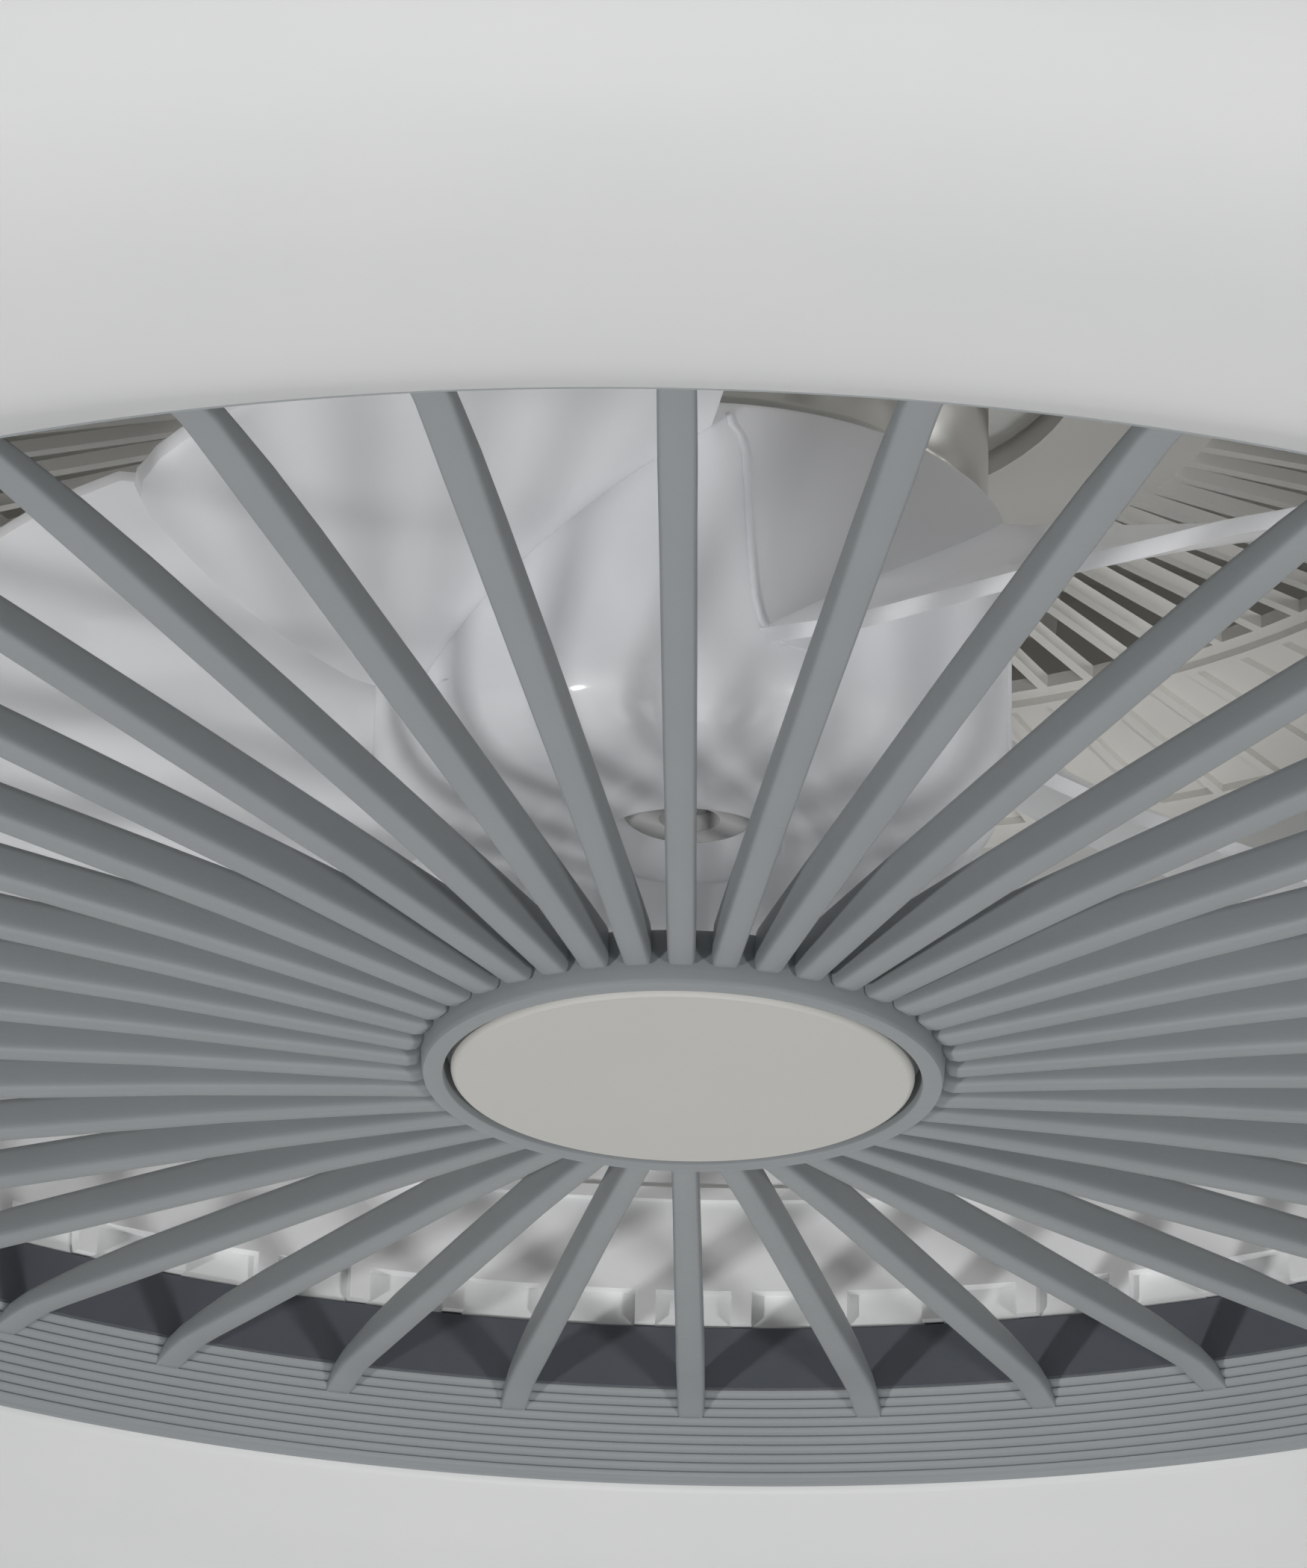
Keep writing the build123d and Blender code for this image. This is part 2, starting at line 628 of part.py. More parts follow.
def louvre_drum():
    """White drum with upright air slots between pan and lamp tray."""
    drum = ring(PAN_R - DRUM_WALL, PAN_R, TRAY_TOP, PAN_UNDER)
    drum += ring(FLANGE_INNER_R, PAN_R, TRAY_TOP, TRAY_TOP + FLANGE_SHEET)
    slot = Pos(PAN_R, 0, (LOUVRE_TOP + LOUVRE_BOTTOM) / 2) * Box(
        4 * DRUM_WALL, LOUVRE_WIDTH, LOUVRE_TOP - LOUVRE_BOTTOM
    )
    slot = fillet(slot.edges().filter_by(Axis.X), LOUVRE_ROUND)
    hole = pin(FLANGE_SCREW_R, 0, TRAY_TOP, TRAY_TOP + FLANGE_SHEET, PILOT_R)
    holes = around(slot, LOUVRES, TURN / LOUVRES / 2) + around(hole, FLANGE_SCREWS)
    holes.append(pin(0, LIGHT_LEAD_AT, TRAY_TOP, TRAY_TOP + FLANGE_SHEET, NOTCH_R))
    return drum - holes


def air_duct():
    """White duct round the impeller with its posts, flange and bayonet skirt."""
    outer = DUCT_R + DUCT_WALL
    back = DUCT_R + RECESS_DEPTH
    skirt_out = SKIRT_R + SKIRT_WALL
    flange_low = TRAY_TOP + FLANGE_SHEET
    flange_top = flange_low + FLANGE_SHEET
    duct = ring(DUCT_R, outer, POST_TOP, PLATE_BOTTOM)
    duct += ring(DUCT_R - BEAD_DEPTH, DUCT_R, BEAD_Z, BEAD_Z + BEAD_HEIGHT)
    duct += ring(DUCT_R, back + DUCT_WALL, POST_TOP, POST_TOP + SHELF_THICK)
    duct += ring(back, back + DUCT_WALL, DUCT_BOTTOM, POST_TOP)
    duct += ring(outer, DUCT_FLANGE_R, flange_low, flange_top)
    duct += ring(back, skirt_out, DUCT_BOTTOM, DUCT_BOTTOM + HOOK_THICK)
    duct += ring(SKIRT_R, skirt_out, SKIRT_BOTTOM, DUCT_BOTTOM)
    hook = sector(
        WALL_R + WALL_THICK + 2 * CLEAR,
        SKIRT_R + SKIRT_WALL / 2,
        SKIRT_BOTTOM,
        SKIRT_BOTTOM + HOOK_THICK,
        TURN / BAYONETS / 2 - TWIST,
        TURN / BAYONETS - GATE_ANGLE,
    )
    post = Pos(DUCT_R + RECESS_DEPTH / 2 + CLEAR, 0, (DUCT_BOTTOM + POST_TOP) / 2) * Box(
        RECESS_DEPTH + 2 * CLEAR, POST_WIDTH, POST_TOP - DUCT_BOTTOM
    )
    duct = duct + (around(hook, BAYONETS) + around(post, POSTS, TURN / POSTS / 2))
    hole = pin(FLANGE_SCREW_R, 0, flange_low, flange_top, PILOT_R)
    notch = pin(0, LIGHT_LEAD_AT, flange_low, flange_top, NOTCH_R)
    return duct - (around(hole, FLANGE_SCREWS) + [notch])


def lamp_tray():
    """White steel tray that carries the light boards and the shade."""
    tray = ring(TRAY_INNER_R, TRAY_R, TRAY_UNDER, TRAY_TOP)
    tray += ring(TRAY_INNER_R, TRAY_INNER_R + TRAY_SHEET, TRAY_UNDER - TRAY_EDGE, TRAY_TOP)
    tab = sector(TRAY_R - TAB_ROOT, TAB_R, TRAY_UNDER, TRAY_TOP, 0, TAB_ANGLE)
    tray = tray + around(tab, TABS, TURN / 4)
    hole = pin(FLANGE_SCREW_R, 0, TRAY_UNDER, TRAY_TOP, PILOT_R)
    lead_hole = pin(0, LIGHT_LEAD_AT + TRAY_HOLE_SHIFT, TRAY_UNDER, TRAY_TOP, TRAY_HOLE_R)
    return tray - (around(hole, FLANGE_SCREWS) + [lead_hole])


def light_boards():
    """Curved aluminium light boards under the tray."""
    board = sector(*BOARD_R, TRAY_UNDER - BOARD_SHEET, TRAY_UNDER, TURN / 4, BOARD_ANGLE)
    return Compound(around(board, BOARDS))


def light_chips():
    """Light-emitting chips in two rows on each board."""
    top = TRAY_UNDER - BOARD_SHEET
    step = BOARD_ANGLE / CHIPS_PER_ROW
    size = (CHIP_SIDE, CHIP_SIDE, CHIP_HEIGHT)
    chips = []
    for row in (BOARD_R[0] + CHIP_INSET, BOARD_R[1] - CHIP_INSET):
        for i in range(CHIPS_PER_ROW):
            angle = TURN / 4 + (i - (CHIPS_PER_ROW - 1) / 2) * step
            chips += around(block(row, 0, top, size), BOARDS, angle)
    return Compound(chips)


def light_plug():
    """Connector where the lead meets the light board."""
    return block(0, PLUG_AT, TRAY_UNDER - BOARD_SHEET, PLUG_SIZE)


def inset(points, amount):
    """Inner points of an open outline, moved square to it by an amount."""
    moved = []
    for before, here, after in zip(points, points[1:], points[2:]):
        run = after[0] - before[0]
        rise = after[1] - before[1]
        length = hypot(run, rise)
        moved.append((here[0] - amount * rise / length, here[1] + amount * run / length))
    return moved


def shade_skin(outline, top):
    """Full solid under a smooth outline that ends in an upright wall."""
    first, last = outline[0], outline[-1]
    curve = Spline(
        *[(r, 0, z) for r, z in outline], tangents=[(1, 0, -SHADE_EDGE_FALL), (0, 0, 1)]
    )
    sides = Polyline(
        (last[0], 0, last[1]), (last[0], 0, top), (first[0], 0, top), (first[0], 0, first[1])
    )
    return revolve(make_face([curve, *sides.edges()]), Axis.Z)


def ring_shade():
    """Opal acrylic ring round the grille, with its bayonet flange."""
    outline = [(SHADE_INNER_R, LIP_Z)]
    outline += [(SHADE_R - step, SHADE_LOW_Z + rise) for step, rise in SHADE_UNDERSIDE]
    outline.append((SHADE_R, SHADE_STRAIGHT_Z))
    edge_rise = SHADE_WALL * (hypot(1, SHADE_EDGE_FALL) - SHADE_EDGE_FALL)
    room = [(SHADE_INNER_R + SHADE_WALL, LIP_Z + edge_rise)]
    room += inset(outline, SHADE_WALL)
    room.append((SHADE_R - SHADE_WALL, SHADE_STRAIGHT_Z))
    flange_low = SHADE_TOP - SHADE_WALL
    shade = shade_skin(outline, SHADE_TOP) - shade_skin(room, flange_low)
    shade -= disc(SHADE_INNER_R + SHADE_WALL + CLEAR, SHADE_UPSTAND_TOP, SHADE_TOP)
    shade -= disc(SHADE_FLANGE_R, flange_low, SHADE_TOP)
    gate = sector(
        SHADE_FLANGE_R - CLEAR,
        TAB_R + CLEAR,
        flange_low,
        SHADE_TOP,
        TURN / 4 + TWIST,
        SHADE_GATE_ANGLE,
    )
    return shade - around(gate, TABS)


def grille_rim():
    """Wall, ribbed flare and lip of the grille."""
    back_r = WALL_R + WALL_THICK
    profile = [(back_r, WALL_TOP), (WALL_R, WALL_TOP), (WALL_R, WALL_BOTTOM)]
    step_r = (FLARE_R - WALL_R) / RIBS
    step_z = (FLARE_Z - WALL_BOTTOM) / RIBS
    for i in range(RIBS):
        crest_r = WALL_R + (i + 0.5) * step_r - RIB_RISE_R
        crest_z = WALL_BOTTOM + (i + 0.5) * step_z - RIB_RISE_Z
        profile.append((crest_r, crest_z))
        profile.append((WALL_R + (i + 1) * step_r, WALL_BOTTOM + (i + 1) * step_z))
    profile += [
        (LIP_R - LIP_ROUND, LIP_Z + LIP_ROUND / 2),
        (LIP_R, LIP_Z + LIP_ROUND),
        (LIP_R, FLARE_Z + LIP_ROUND / 2),
        (back_r, WALL_BOTTOM + FLARE_BACK),
    ]
    return turned(profile)


def bar_section(radius, drop, width):
    """Cross-section of a bar at one radius, narrow side down."""
    low = BAR_ROOT_Z + BAR_RISE * radius - drop
    high = BAR_ROOT_Z + BAR_RISE * radius + BAR_HEIGHT
    half = width / 2
    right = [
        (half * BAR_FLAT, low),
        (half, low + BAR_SHOULDER),
        (half * BAR_TOP, high),
    ]
    left = [(-y, z) for y, z in reversed(right)]
    return make_face(Polyline(*[(radius, y, z) for y, z in right + left], close=True))


def grille_bars():
    """Forty radial bars, each deeper at its foot, cut to the rim's inner face."""
    slope = (BAR_TIP_WIDTH - BAR_ROOT_WIDTH) / (BAR_FOOT_R - BAR_START_R)
    end_width = BAR_TIP_WIDTH + slope * (BAR_END_R - BAR_FOOT_R)
    sections = [
        bar_section(BAR_START_R, 0, BAR_ROOT_WIDTH),
        bar_section(BAR_FOOT_R, 0, BAR_TIP_WIDTH),
        bar_section(BAR_END_R, BAR_FOOT_DROP, end_width),
    ]
    below = HUB_FACE - BAR_HEIGHT
    inner = BAR_START_R - HUB_SKIRT_EDGE
    wall = WALL_R + WALL_THICK / 2
    reach = turned(
        [
            (inner, below),
            (FLARE_R + WALL_THICK, below),
            (FLARE_R + WALL_THICK / 2, FLARE_Z),
            (wall, WALL_BOTTOM),
            (wall, WALL_TOP),
            (inner, WALL_TOP),
        ]
    )
    return around(loft(sections, ruled=True) & reach, BARS)


def grille_hub():
    """Hub ring with its floor and the sloping skirt behind the bars' roots."""
    hub = ring(HUB_R - HUB_WALL, HUB_R, HUB_FACE, HUB_FLOOR_Z + HUB_FLOOR)
    hub += disc(HUB_R, HUB_FLOOR_Z, HUB_FLOOR_Z + HUB_FLOOR)
    inner = HUB_R - HUB_WALL / 2
    return hub + turned(
        [
            (inner, HUB_EDGE_Z),
            (HUB_R, HUB_EDGE_Z),
            (HUB_SKIRT_R, HUB_SKIRT_Z - HUB_SKIRT_EDGE),
            (HUB_SKIRT_R, HUB_SKIRT_Z),
            (inner, HUB_SKIRT_Z),
        ]
    )


def grille():
    """Grey moulded grille with hub, bars, wall, ribbed flare and bayonet lugs."""
    lug = sector(
        WALL_R + WALL_THICK / 2, SKIRT_R - CLEAR, LUG_TOP - LUG_THICK, LUG_TOP, 0, LUG_ANGLE
    )
    whole = grille_rim() + grille_hub()
    whole = whole + (grille_bars() + around(lug, BAYONETS))
    leg_hole = pin(CAP_LEG_AT, 0, HUB_FLOOR_Z, HUB_SKIRT_Z, CAP_LEG_R + SLIP)
    return whole - around(leg_hole, CAP_LEGS)


def centre_cap():
    """White snap-in cap in the middle of the grille."""
    cap = disc(CAP_R, HUB_FACE, HUB_FLOOR_Z)
    cap = chamfer(cap.edges().sort_by(Axis.Z)[:1], CAP_EDGE)
    cap -= disc(CAP_R - CAP_WALL, HUB_FACE + CAP_FACE, HUB_FLOOR_Z)
    leg_top = HUB_FLOOR_Z + HUB_FLOOR + CAP_LEG_SNAP
    leg = pin(CAP_LEG_AT, 0, HUB_FACE + CAP_FACE / 2, leg_top, CAP_LEG_R)
    return cap + around(leg, CAP_LEGS)


def lead(points, bend):
    """Round lead along straight runs joined by arcs."""
    route = FilletPolyline(*points, radius=bend)
    start = Plane(origin=route @ 0, z_dir=route % 0)
    return sweep(start * Circle(LEAD_R), route)


def mains_lead():
    """Lead from the terminal block to the control box."""
    route = [
        (BLOCK_X - BLOCK_SIZE[0] / 2, GROMMET_Y, MAINS_Z),
        (MAINS_X, GROMMET_Y, MAINS_Z),
        (MAINS_X, -BOX_Y, MAINS_Z),
        (-CONTROL_SIZE[0] / 2, -BOX_Y, MAINS_Z),
    ]
    return lead(route, MAINS_BEND)


def motor_lead():
    """Lead from the motor through the hanger to the control box."""
    route = [
        (0, MOTOR_LEAD_Y, MOTOR_TOP - MOTOR_SHEET),
        (0, MOTOR_LEAD_Y, LEAD_Z),
        (0, CONTROL_SIZE[1] / 2 - BOX_Y, LEAD_Z),
    ]
    return lead(route, LEAD_BEND)


def light_lead():
    """Lead from the driver past the plate and the tray to the light board."""
    plug_z = TRAY_UNDER - BOARD_SHEET - PLUG_SIZE[2] / 2
    route = [
        (0, BOX_Y + DRIVER_SIZE[1] / 2, LIGHT_LEAD_Z),
        (0, LIGHT_LEAD_AT, LIGHT_LEAD_Z),
        (0, LIGHT_LEAD_AT, plug_z),
        (0, PLUG_AT - PLUG_SIZE[1] / 2, plug_z),
    ]
    return lead(route, LEAD_BEND)


hanger_head_z = PAN_UNDER - HANGER_SHEET
hanger_grip = HANGER_SHEET + PAN_SHEET + SCREW_TAIL
motor_grip = MOTOR_SHEET + HANGER_SHEET + SCREW_TAIL
plate_grip = PLATE_SHEET + PLATE_SCREW_GRIP
tray_grip = TRAY_SHEET + 2 * FLANGE_SHEET + SCREW_TAIL

save("ceiling_strap", ceiling_strap())
save("rim_screws", rim_screws())
save("chassis_pan", chassis_pan())
save("cable_grommet", cable_grommet())
save("light_driver", sealed_box(0, BOX_Y, DRIVER_SIZE))
save("control_box", sealed_box(0, -BOX_Y, CONTROL_SIZE))
save("terminal_block", terminal_block())
save("motor_hanger", motor_hanger())
save("hanger_screws", small_screws(HANGER_SCREW_R, hanger_head_z, hanger_grip, MOTOR_SCREWS, TURN / 8))
save(
    "motor_screws",
    small_screws(MOTOR_SCREW_R, MOTOR_FLANGE_BOTTOM, motor_grip, MOTOR_SCREWS, MOTOR_SCREW_AT),
)
save("motor_can", motor_can())
save("motor_cover", motor_cover())
save("lower_bearing", bearing(MOTOR_BOTTOM + MOTOR_SHEET))
save("upper_bearing", bearing(MOTOR_TOP - MOTOR_SHEET - BEARING_WIDTH))
save("stator_core", stator_core())
save("stator_coils", stator_coils())
save("motor_shaft", motor_shaft())
save("drive_pin", drive_pin())
save("rotor_core", rotor_core())
save("impeller", impeller())
save("impeller_nut", impeller_nut())
save("slotted_plate", slotted_plate())
save("plate_standoffs", plate_standoffs())
save("plate_screws", small_screws(STANDOFF_AT, PLATE_BOTTOM, plate_grip, STANDOFFS, TURN / 8))
save("louvre_drum", louvre_drum())
save("air_duct", air_duct())
save("lamp_tray", lamp_tray())
save("tray_screws", small_screws(FLANGE_SCREW_R, TRAY_UNDER, tray_grip, FLANGE_SCREWS, 0))
save("light_boards", light_boards())
save("light_chips", light_chips())
save("light_plug", light_plug())
save("ring_shade", ring_shade())
save("grille", grille())
save("centre_cap", centre_cap())
save("mains_lead", mains_lead())
save("motor_lead", motor_lead())
save("light_lead", light_lead())
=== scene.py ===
from math import cos, pi, radians, sin

import bmesh
import bpy
from mathutils import Matrix, Vector


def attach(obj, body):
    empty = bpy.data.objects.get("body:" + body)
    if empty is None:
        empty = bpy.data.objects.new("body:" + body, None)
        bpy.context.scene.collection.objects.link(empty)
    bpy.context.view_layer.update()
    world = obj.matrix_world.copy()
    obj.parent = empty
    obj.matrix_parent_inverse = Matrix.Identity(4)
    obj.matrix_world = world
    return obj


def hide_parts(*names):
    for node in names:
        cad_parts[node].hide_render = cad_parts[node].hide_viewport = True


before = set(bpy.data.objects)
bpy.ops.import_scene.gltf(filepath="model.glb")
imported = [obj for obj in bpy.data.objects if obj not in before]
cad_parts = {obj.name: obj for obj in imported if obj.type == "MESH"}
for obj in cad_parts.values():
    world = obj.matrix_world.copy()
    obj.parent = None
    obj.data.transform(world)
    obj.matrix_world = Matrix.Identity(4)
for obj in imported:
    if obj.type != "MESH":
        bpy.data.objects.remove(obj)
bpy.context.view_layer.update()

# Camera. It stands below the fan and looks up past the near side of the shade,
# with a long lens and a slight roll. Its place was fitted to the forty bars.
camera_place = Vector((0.01169, -0.76524, -0.46673))
camera_turn = radians(-1.238)
camera_pitch = radians(23.87)
camera_roll = radians(1.66)
film_mm = 36
focal_px = 8500
photo_height_px = 2100
ahead = Vector(
    (sin(camera_turn) * cos(camera_pitch), cos(camera_turn) * cos(camera_pitch), sin(camera_pitch))
)
level = Vector((cos(camera_turn), -sin(camera_turn), 0))
upright = level.cross(ahead)
right = cos(camera_roll) * level + sin(camera_roll) * upright
up = cos(camera_roll) * upright - sin(camera_roll) * level
camera = bpy.data.objects.new("photo_camera", bpy.data.cameras.new("photo_camera"))
camera.data.sensor_width = film_mm
camera.data.lens = film_mm * focal_px / photo_height_px
camera.data.clip_start = 0.01
camera.matrix_world = Matrix.Translation(camera_place) @ Matrix((right, up, -ahead)).transposed().to_4x4()
bpy.context.scene.collection.objects.link(camera)
bpy.context.scene.camera = camera
bpy.context.scene.view_settings.view_transform = "Standard"


# Studio. A pale floor far below and a white surround, which the camera, metal and
# clear plastic see, while the fan itself is lit by a faint grey sky. From below, the
# floor can't be seen.
def add(tree, kind, settings=None, links=None):
    """Add a node, set its sockets or properties, and link its inputs."""
    node = tree.nodes.new(kind)
    for name, value in (settings or {}).items():
        if isinstance(name, int) or name in node.inputs:
            node.inputs[name].default_value = value
        else:
            setattr(node, name, value)
    for name, (source, output) in (links or {}).items():
        tree.links.new(source.outputs[output], node.inputs[name])
    return node


def linear(code):
    """Linear colour of an sRGB hex code."""
    parts = [int(code[i : i + 2], 16) / 255 for i in (1, 3, 5)]
    return [p / 12.92 if p <= 0.04045 else ((p + 0.055) / 1.055) ** 2.4 for p in parts] + [1]


def fresh(name):
    """New material with an empty node tree."""
    material = bpy.data.materials.new(name)
    material.use_nodes = True
    material.node_tree.nodes.clear()
    return material, material.node_tree


def background_rays(tree):
    """1 for the rays of the camera, of gloss and of clear plastic."""
    ray = add(tree, "ShaderNodeLightPath")
    either = {"operation": "MAXIMUM"}
    seen = add(tree, "ShaderNodeMath", either, {0: (ray, "Is Camera Ray"), 1: (ray, "Is Glossy Ray")})
    return add(tree, "ShaderNodeMath", either, {0: (seen, 0), 1: (ray, "Is Transmission Ray")})


sky_strength = 0.09
world = bpy.data.worlds.new("studio")
bpy.context.scene.world = world
world.use_nodes = True
sky = world.node_tree
sky.nodes.clear()
plain = add(sky, "ShaderNodeBackground", {"Color": (0.93, 0.95, 0.97, 1), "Strength": sky_strength})
white = add(sky, "ShaderNodeBackground", {"Color": (1, 1, 1, 1), "Strength": 1})
shown = background_rays(sky)
mixed = add(sky, "ShaderNodeMixShader", None, {"Fac": (shown, 0), 1: (plain, 0), 2: (white, 0)})
add(sky, "ShaderNodeOutputWorld", None, {"Surface": (mixed, 0)})

floor_half_width = 7
floor_height = -2.4
floor_glow = 0.6
floor_mesh = bmesh.new()
bmesh.ops.create_grid(
    floor_mesh,
    x_segments=1,
    y_segments=1,
    size=floor_half_width,
    matrix=Matrix.Translation((0, 0, floor_height)),
)
floor = bpy.data.objects.new("floor", bpy.data.meshes.new("floor"))
floor_mesh.to_mesh(floor.data)
bpy.context.scene.collection.objects.link(floor)
floor_paint, tree = fresh("pale_floor")
paint = add(tree, "ShaderNodeBsdfDiffuse", {"Color": linear("#e6e6e4")})
glow = add(tree, "ShaderNodeEmission", {"Color": (1, 1, 1, 1), "Strength": 1})
none = add(tree, "ShaderNodeBsdfTransparent")
side = add(tree, "ShaderNodeNewGeometry")
shown = background_rays(tree)
share = add(tree, "ShaderNodeMath", {"operation": "MULTIPLY", 1: floor_glow}, {0: (shown, 0)})
top = add(tree, "ShaderNodeMixShader", None, {"Fac": (share, 0), 1: (paint, 0), 2: (glow, 0)})
under = add(tree, "ShaderNodeMixShader", None, {"Fac": (side, "Backfacing"), 1: (top, 0), 2: (none, 0)})
add(tree, "ShaderNodeOutputMaterial", None, {"Surface": (under, 0)})
floor.data.materials.append(floor_paint)

# Lamps. A small lamp low on the left and a softer one low on the right throw the bars'
# crossed shadows up the walls, a large soft lamp fills from straight below, and three
# weak ones round the top stand for the light that gets in through the louvres.
# Places and sizes are in metres, power in watts and spread in degrees.
fan_middle = Vector((0, 0, -0.07))
for name, place, size, power, spread in (
    ("left_lamp", (-1.42, -1.44, -1.45), 0.14, 22, 180),
    ("right_lamp", (1.42, -1.44, -1.45), 0.3, 18, 180),
    ("low_lamp", (0, -0.25, -2.2), 1.5, 15, 180),
    ("room_left", (-1.5, 0.3, 0.16), 0.5, 1.6, 60),
    ("room_right", (1.5, 0.3, 0.16), 0.5, 1.6, 60),
    ("room_far", (0, 1.6, 0.16), 0.5, 1.6, 60),
):
    lamp = bpy.data.lights.new(name, "AREA")
    lamp.size = size
    lamp.energy = power
    lamp.spread = radians(spread)
    stand = bpy.data.objects.new(name, lamp)
    stand.location = place
    stand.rotation_mode = "QUATERNION"
    stand.rotation_quaternion = (fan_middle - Vector(place)).to_track_quat("-Z", "Y")
    bpy.context.scene.collection.objects.link(stand)


# Ceiling strap, motor hanger, standoff tubes and thumb screws. Steel sheet and bar,
# zinc plated: a cool grey metal with faint crystal patches about 5 mm across.
def surface(tree, settings, links):
    """Principled shader on a material's output."""
    body = add(tree, "ShaderNodeBsdfPrincipled", settings, links)
    add(tree, "ShaderNodeOutputMaterial", None, {"Surface": (body, 0)})


def dress(material, *nodes):
    """Give CAD nodes a material in place of their plain one."""
    for name in nodes:
        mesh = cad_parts[name].data
        mesh.materials.clear()
        mesh.materials.append(material)


# A pattern's scale is 1000 over its size in mm, because the scene is in metres.
# A colour mix takes its two colours at inputs 6 and 7 and gives the result at output 2.
crystal = 5
brushing = 0.6
zinc_greys = {"data_type": "RGBA", 6: linear("#b3b7bb"), 7: linear("#c3c6c9")}
zinc, tree = fresh("zinc_plated_steel")
where = {"Vector": (add(tree, "ShaderNodeTexCoord"), "Object")}
patch = add(tree, "ShaderNodeTexVoronoi", {"Scale": 1000 / crystal}, where)
tone = add(tree, "ShaderNodeSeparateColor", None, {0: (patch, "Color")})
tint = add(tree, "ShaderNodeMix", zinc_greys, {0: (tone, 0)})
fine = add(tree, "ShaderNodeTexNoise", {"Scale": 1000 / brushing, "Detail": 3}, where)
gloss = add(tree, "ShaderNodeMapRange", {"To Min": 0.3, "To Max": 0.45}, {"Value": (fine, 0)})
relief = add(tree, "ShaderNodeBump", {"Strength": 0.1, "Distance": 0.0001}, {"Height": (fine, 0)})
surface(tree, {"Metallic": 1.0}, {"Base Color": (tint, 2), "Roughness": (gloss, 0), "Normal": (relief, 0)})
dress(zinc, "ceiling_strap", "rim_screws", "motor_hanger", "plate_standoffs")

# Small screws. Hardened steel with a nickel plate, turned and then tumbled: smoother
# and a little warmer than the zinc, with faint random handling marks.
handling = 3
nickel_greys = {"data_type": "RGBA", 6: linear("#a9a7a2"), 7: linear("#bdbbb6")}
nickel, tree = fresh("nickel_plated_steel")
where = {"Vector": (add(tree, "ShaderNodeTexCoord"), "Object")}
marks = add(tree, "ShaderNodeTexNoise", {"Scale": 1000 / handling, "Detail": 4}, where)
tint = add(tree, "ShaderNodeMix", nickel_greys, {0: (marks, 0)})
gloss = add(tree, "ShaderNodeMapRange", {"To Min": 0.16, "To Max": 0.34}, {"Value": (marks, 0)})
surface(tree, {"Metallic": 1.0}, {"Base Color": (tint, 2), "Roughness": (gloss, 0)})
dress(nickel, "hanger_screws", "motor_screws", "plate_screws", "tray_screws")

# Chassis pan and lamp tray. Pressed steel sheet in white powder coat, which gives an
# even, half-matt white with a shallow orange-peel texture about 1.2 mm across.
peel = 1.2
clouding = 35
powder_whites = {"data_type": "RGBA", 6: linear("#dcdcd9"), 7: linear("#e2e2df")}
powder, tree = fresh("white_powder_coat")
where = {"Vector": (add(tree, "ShaderNodeTexCoord"), "Object")}
cloud = add(tree, "ShaderNodeTexNoise", {"Scale": 1000 / clouding, "Detail": 3}, where)
tint = add(tree, "ShaderNodeMix", powder_whites, {0: (cloud, 0)})
skin = add(tree, "ShaderNodeTexNoise", {"Scale": 1000 / peel, "Detail": 1}, where)
relief = add(tree, "ShaderNodeBump", {"Strength": 0.25, "Distance": 0.00008}, {"Height": (skin, 0)})
gloss = add(tree, "ShaderNodeMapRange", {"To Min": 0.36, "To Max": 0.46}, {"Value": (skin, 0)})
surface(tree, {"IOR": 1.5}, {"Base Color": (tint, 2), "Roughness": (gloss, 0), "Normal": (relief, 0)})
dress(powder, "chassis_pan", "lamp_tray")

# Cable grommet. Moulded nitrile rubber, pushed into the pan where the supply comes in:
# near black, matt and slightly dusty.
bloom = 2
rubber_blacks = {"data_type": "RGBA", 6: linear("#1d1d1e"), 7: linear("#2b2b2b")}
rubber, tree = fresh("nitrile_rubber")
where = {"Vector": (add(tree, "ShaderNodeTexCoord"), "Object")}
dust = add(tree, "ShaderNodeTexNoise", {"Scale": 1000 / bloom, "Detail": 4}, where)
tint = add(tree, "ShaderNodeMix", rubber_blacks, {0: (dust, 0)})
gloss = add(tree, "ShaderNodeMapRange", {"To Min": 0.6, "To Max": 0.8}, {"Value": (dust, 0)})
surface(tree, {"IOR": 1.52}, {"Base Color": (tint, 2), "Roughness": (gloss, 0)})
dress(rubber, "cable_grommet")


# Driver and control boxes, light plug and knob. Moulded white ABS with a fine
# spark-eroded grain, about 0.7 mm, that keeps it from looking wet.
def moulded(name, light, dark, mottle, grain, rough, depth, shine=0.5):
    """Moulded plastic: size of its mottling, size and depth of its grain in mm, and its gloss."""
    material, tree = fresh(name)
    where = {"Vector": (add(tree, "ShaderNodeTexCoord"), "Object")}
    cloud = add(tree, "ShaderNodeTexNoise", {"Scale": 1000 / mottle, "Detail": 3}, where)
    shades = {"data_type": "RGBA", 6: linear(dark), 7: linear(light)}
    tint = add(tree, "ShaderNodeMix", shades, {0: (cloud, 0)})
    grit = add(tree, "ShaderNodeTexNoise", {"Scale": 1000 / grain, "Detail": 2}, where)
    gloss_range = {"To Min": rough - 0.05, "To Max": rough + 0.07}
    gloss = add(tree, "ShaderNodeMapRange", gloss_range, {"Value": (grit, 0)})
    relief = add(tree, "ShaderNodeBump", {"Strength": 0.5, "Distance": depth / 1000}, {"Height": (grit, 0)})
    surface(
        tree,
        {"IOR": 1.52, "Specular IOR Level": shine},
        {"Base Color": (tint, 2), "Roughness": (gloss, 0), "Normal": (relief, 0)},
    )
    return material


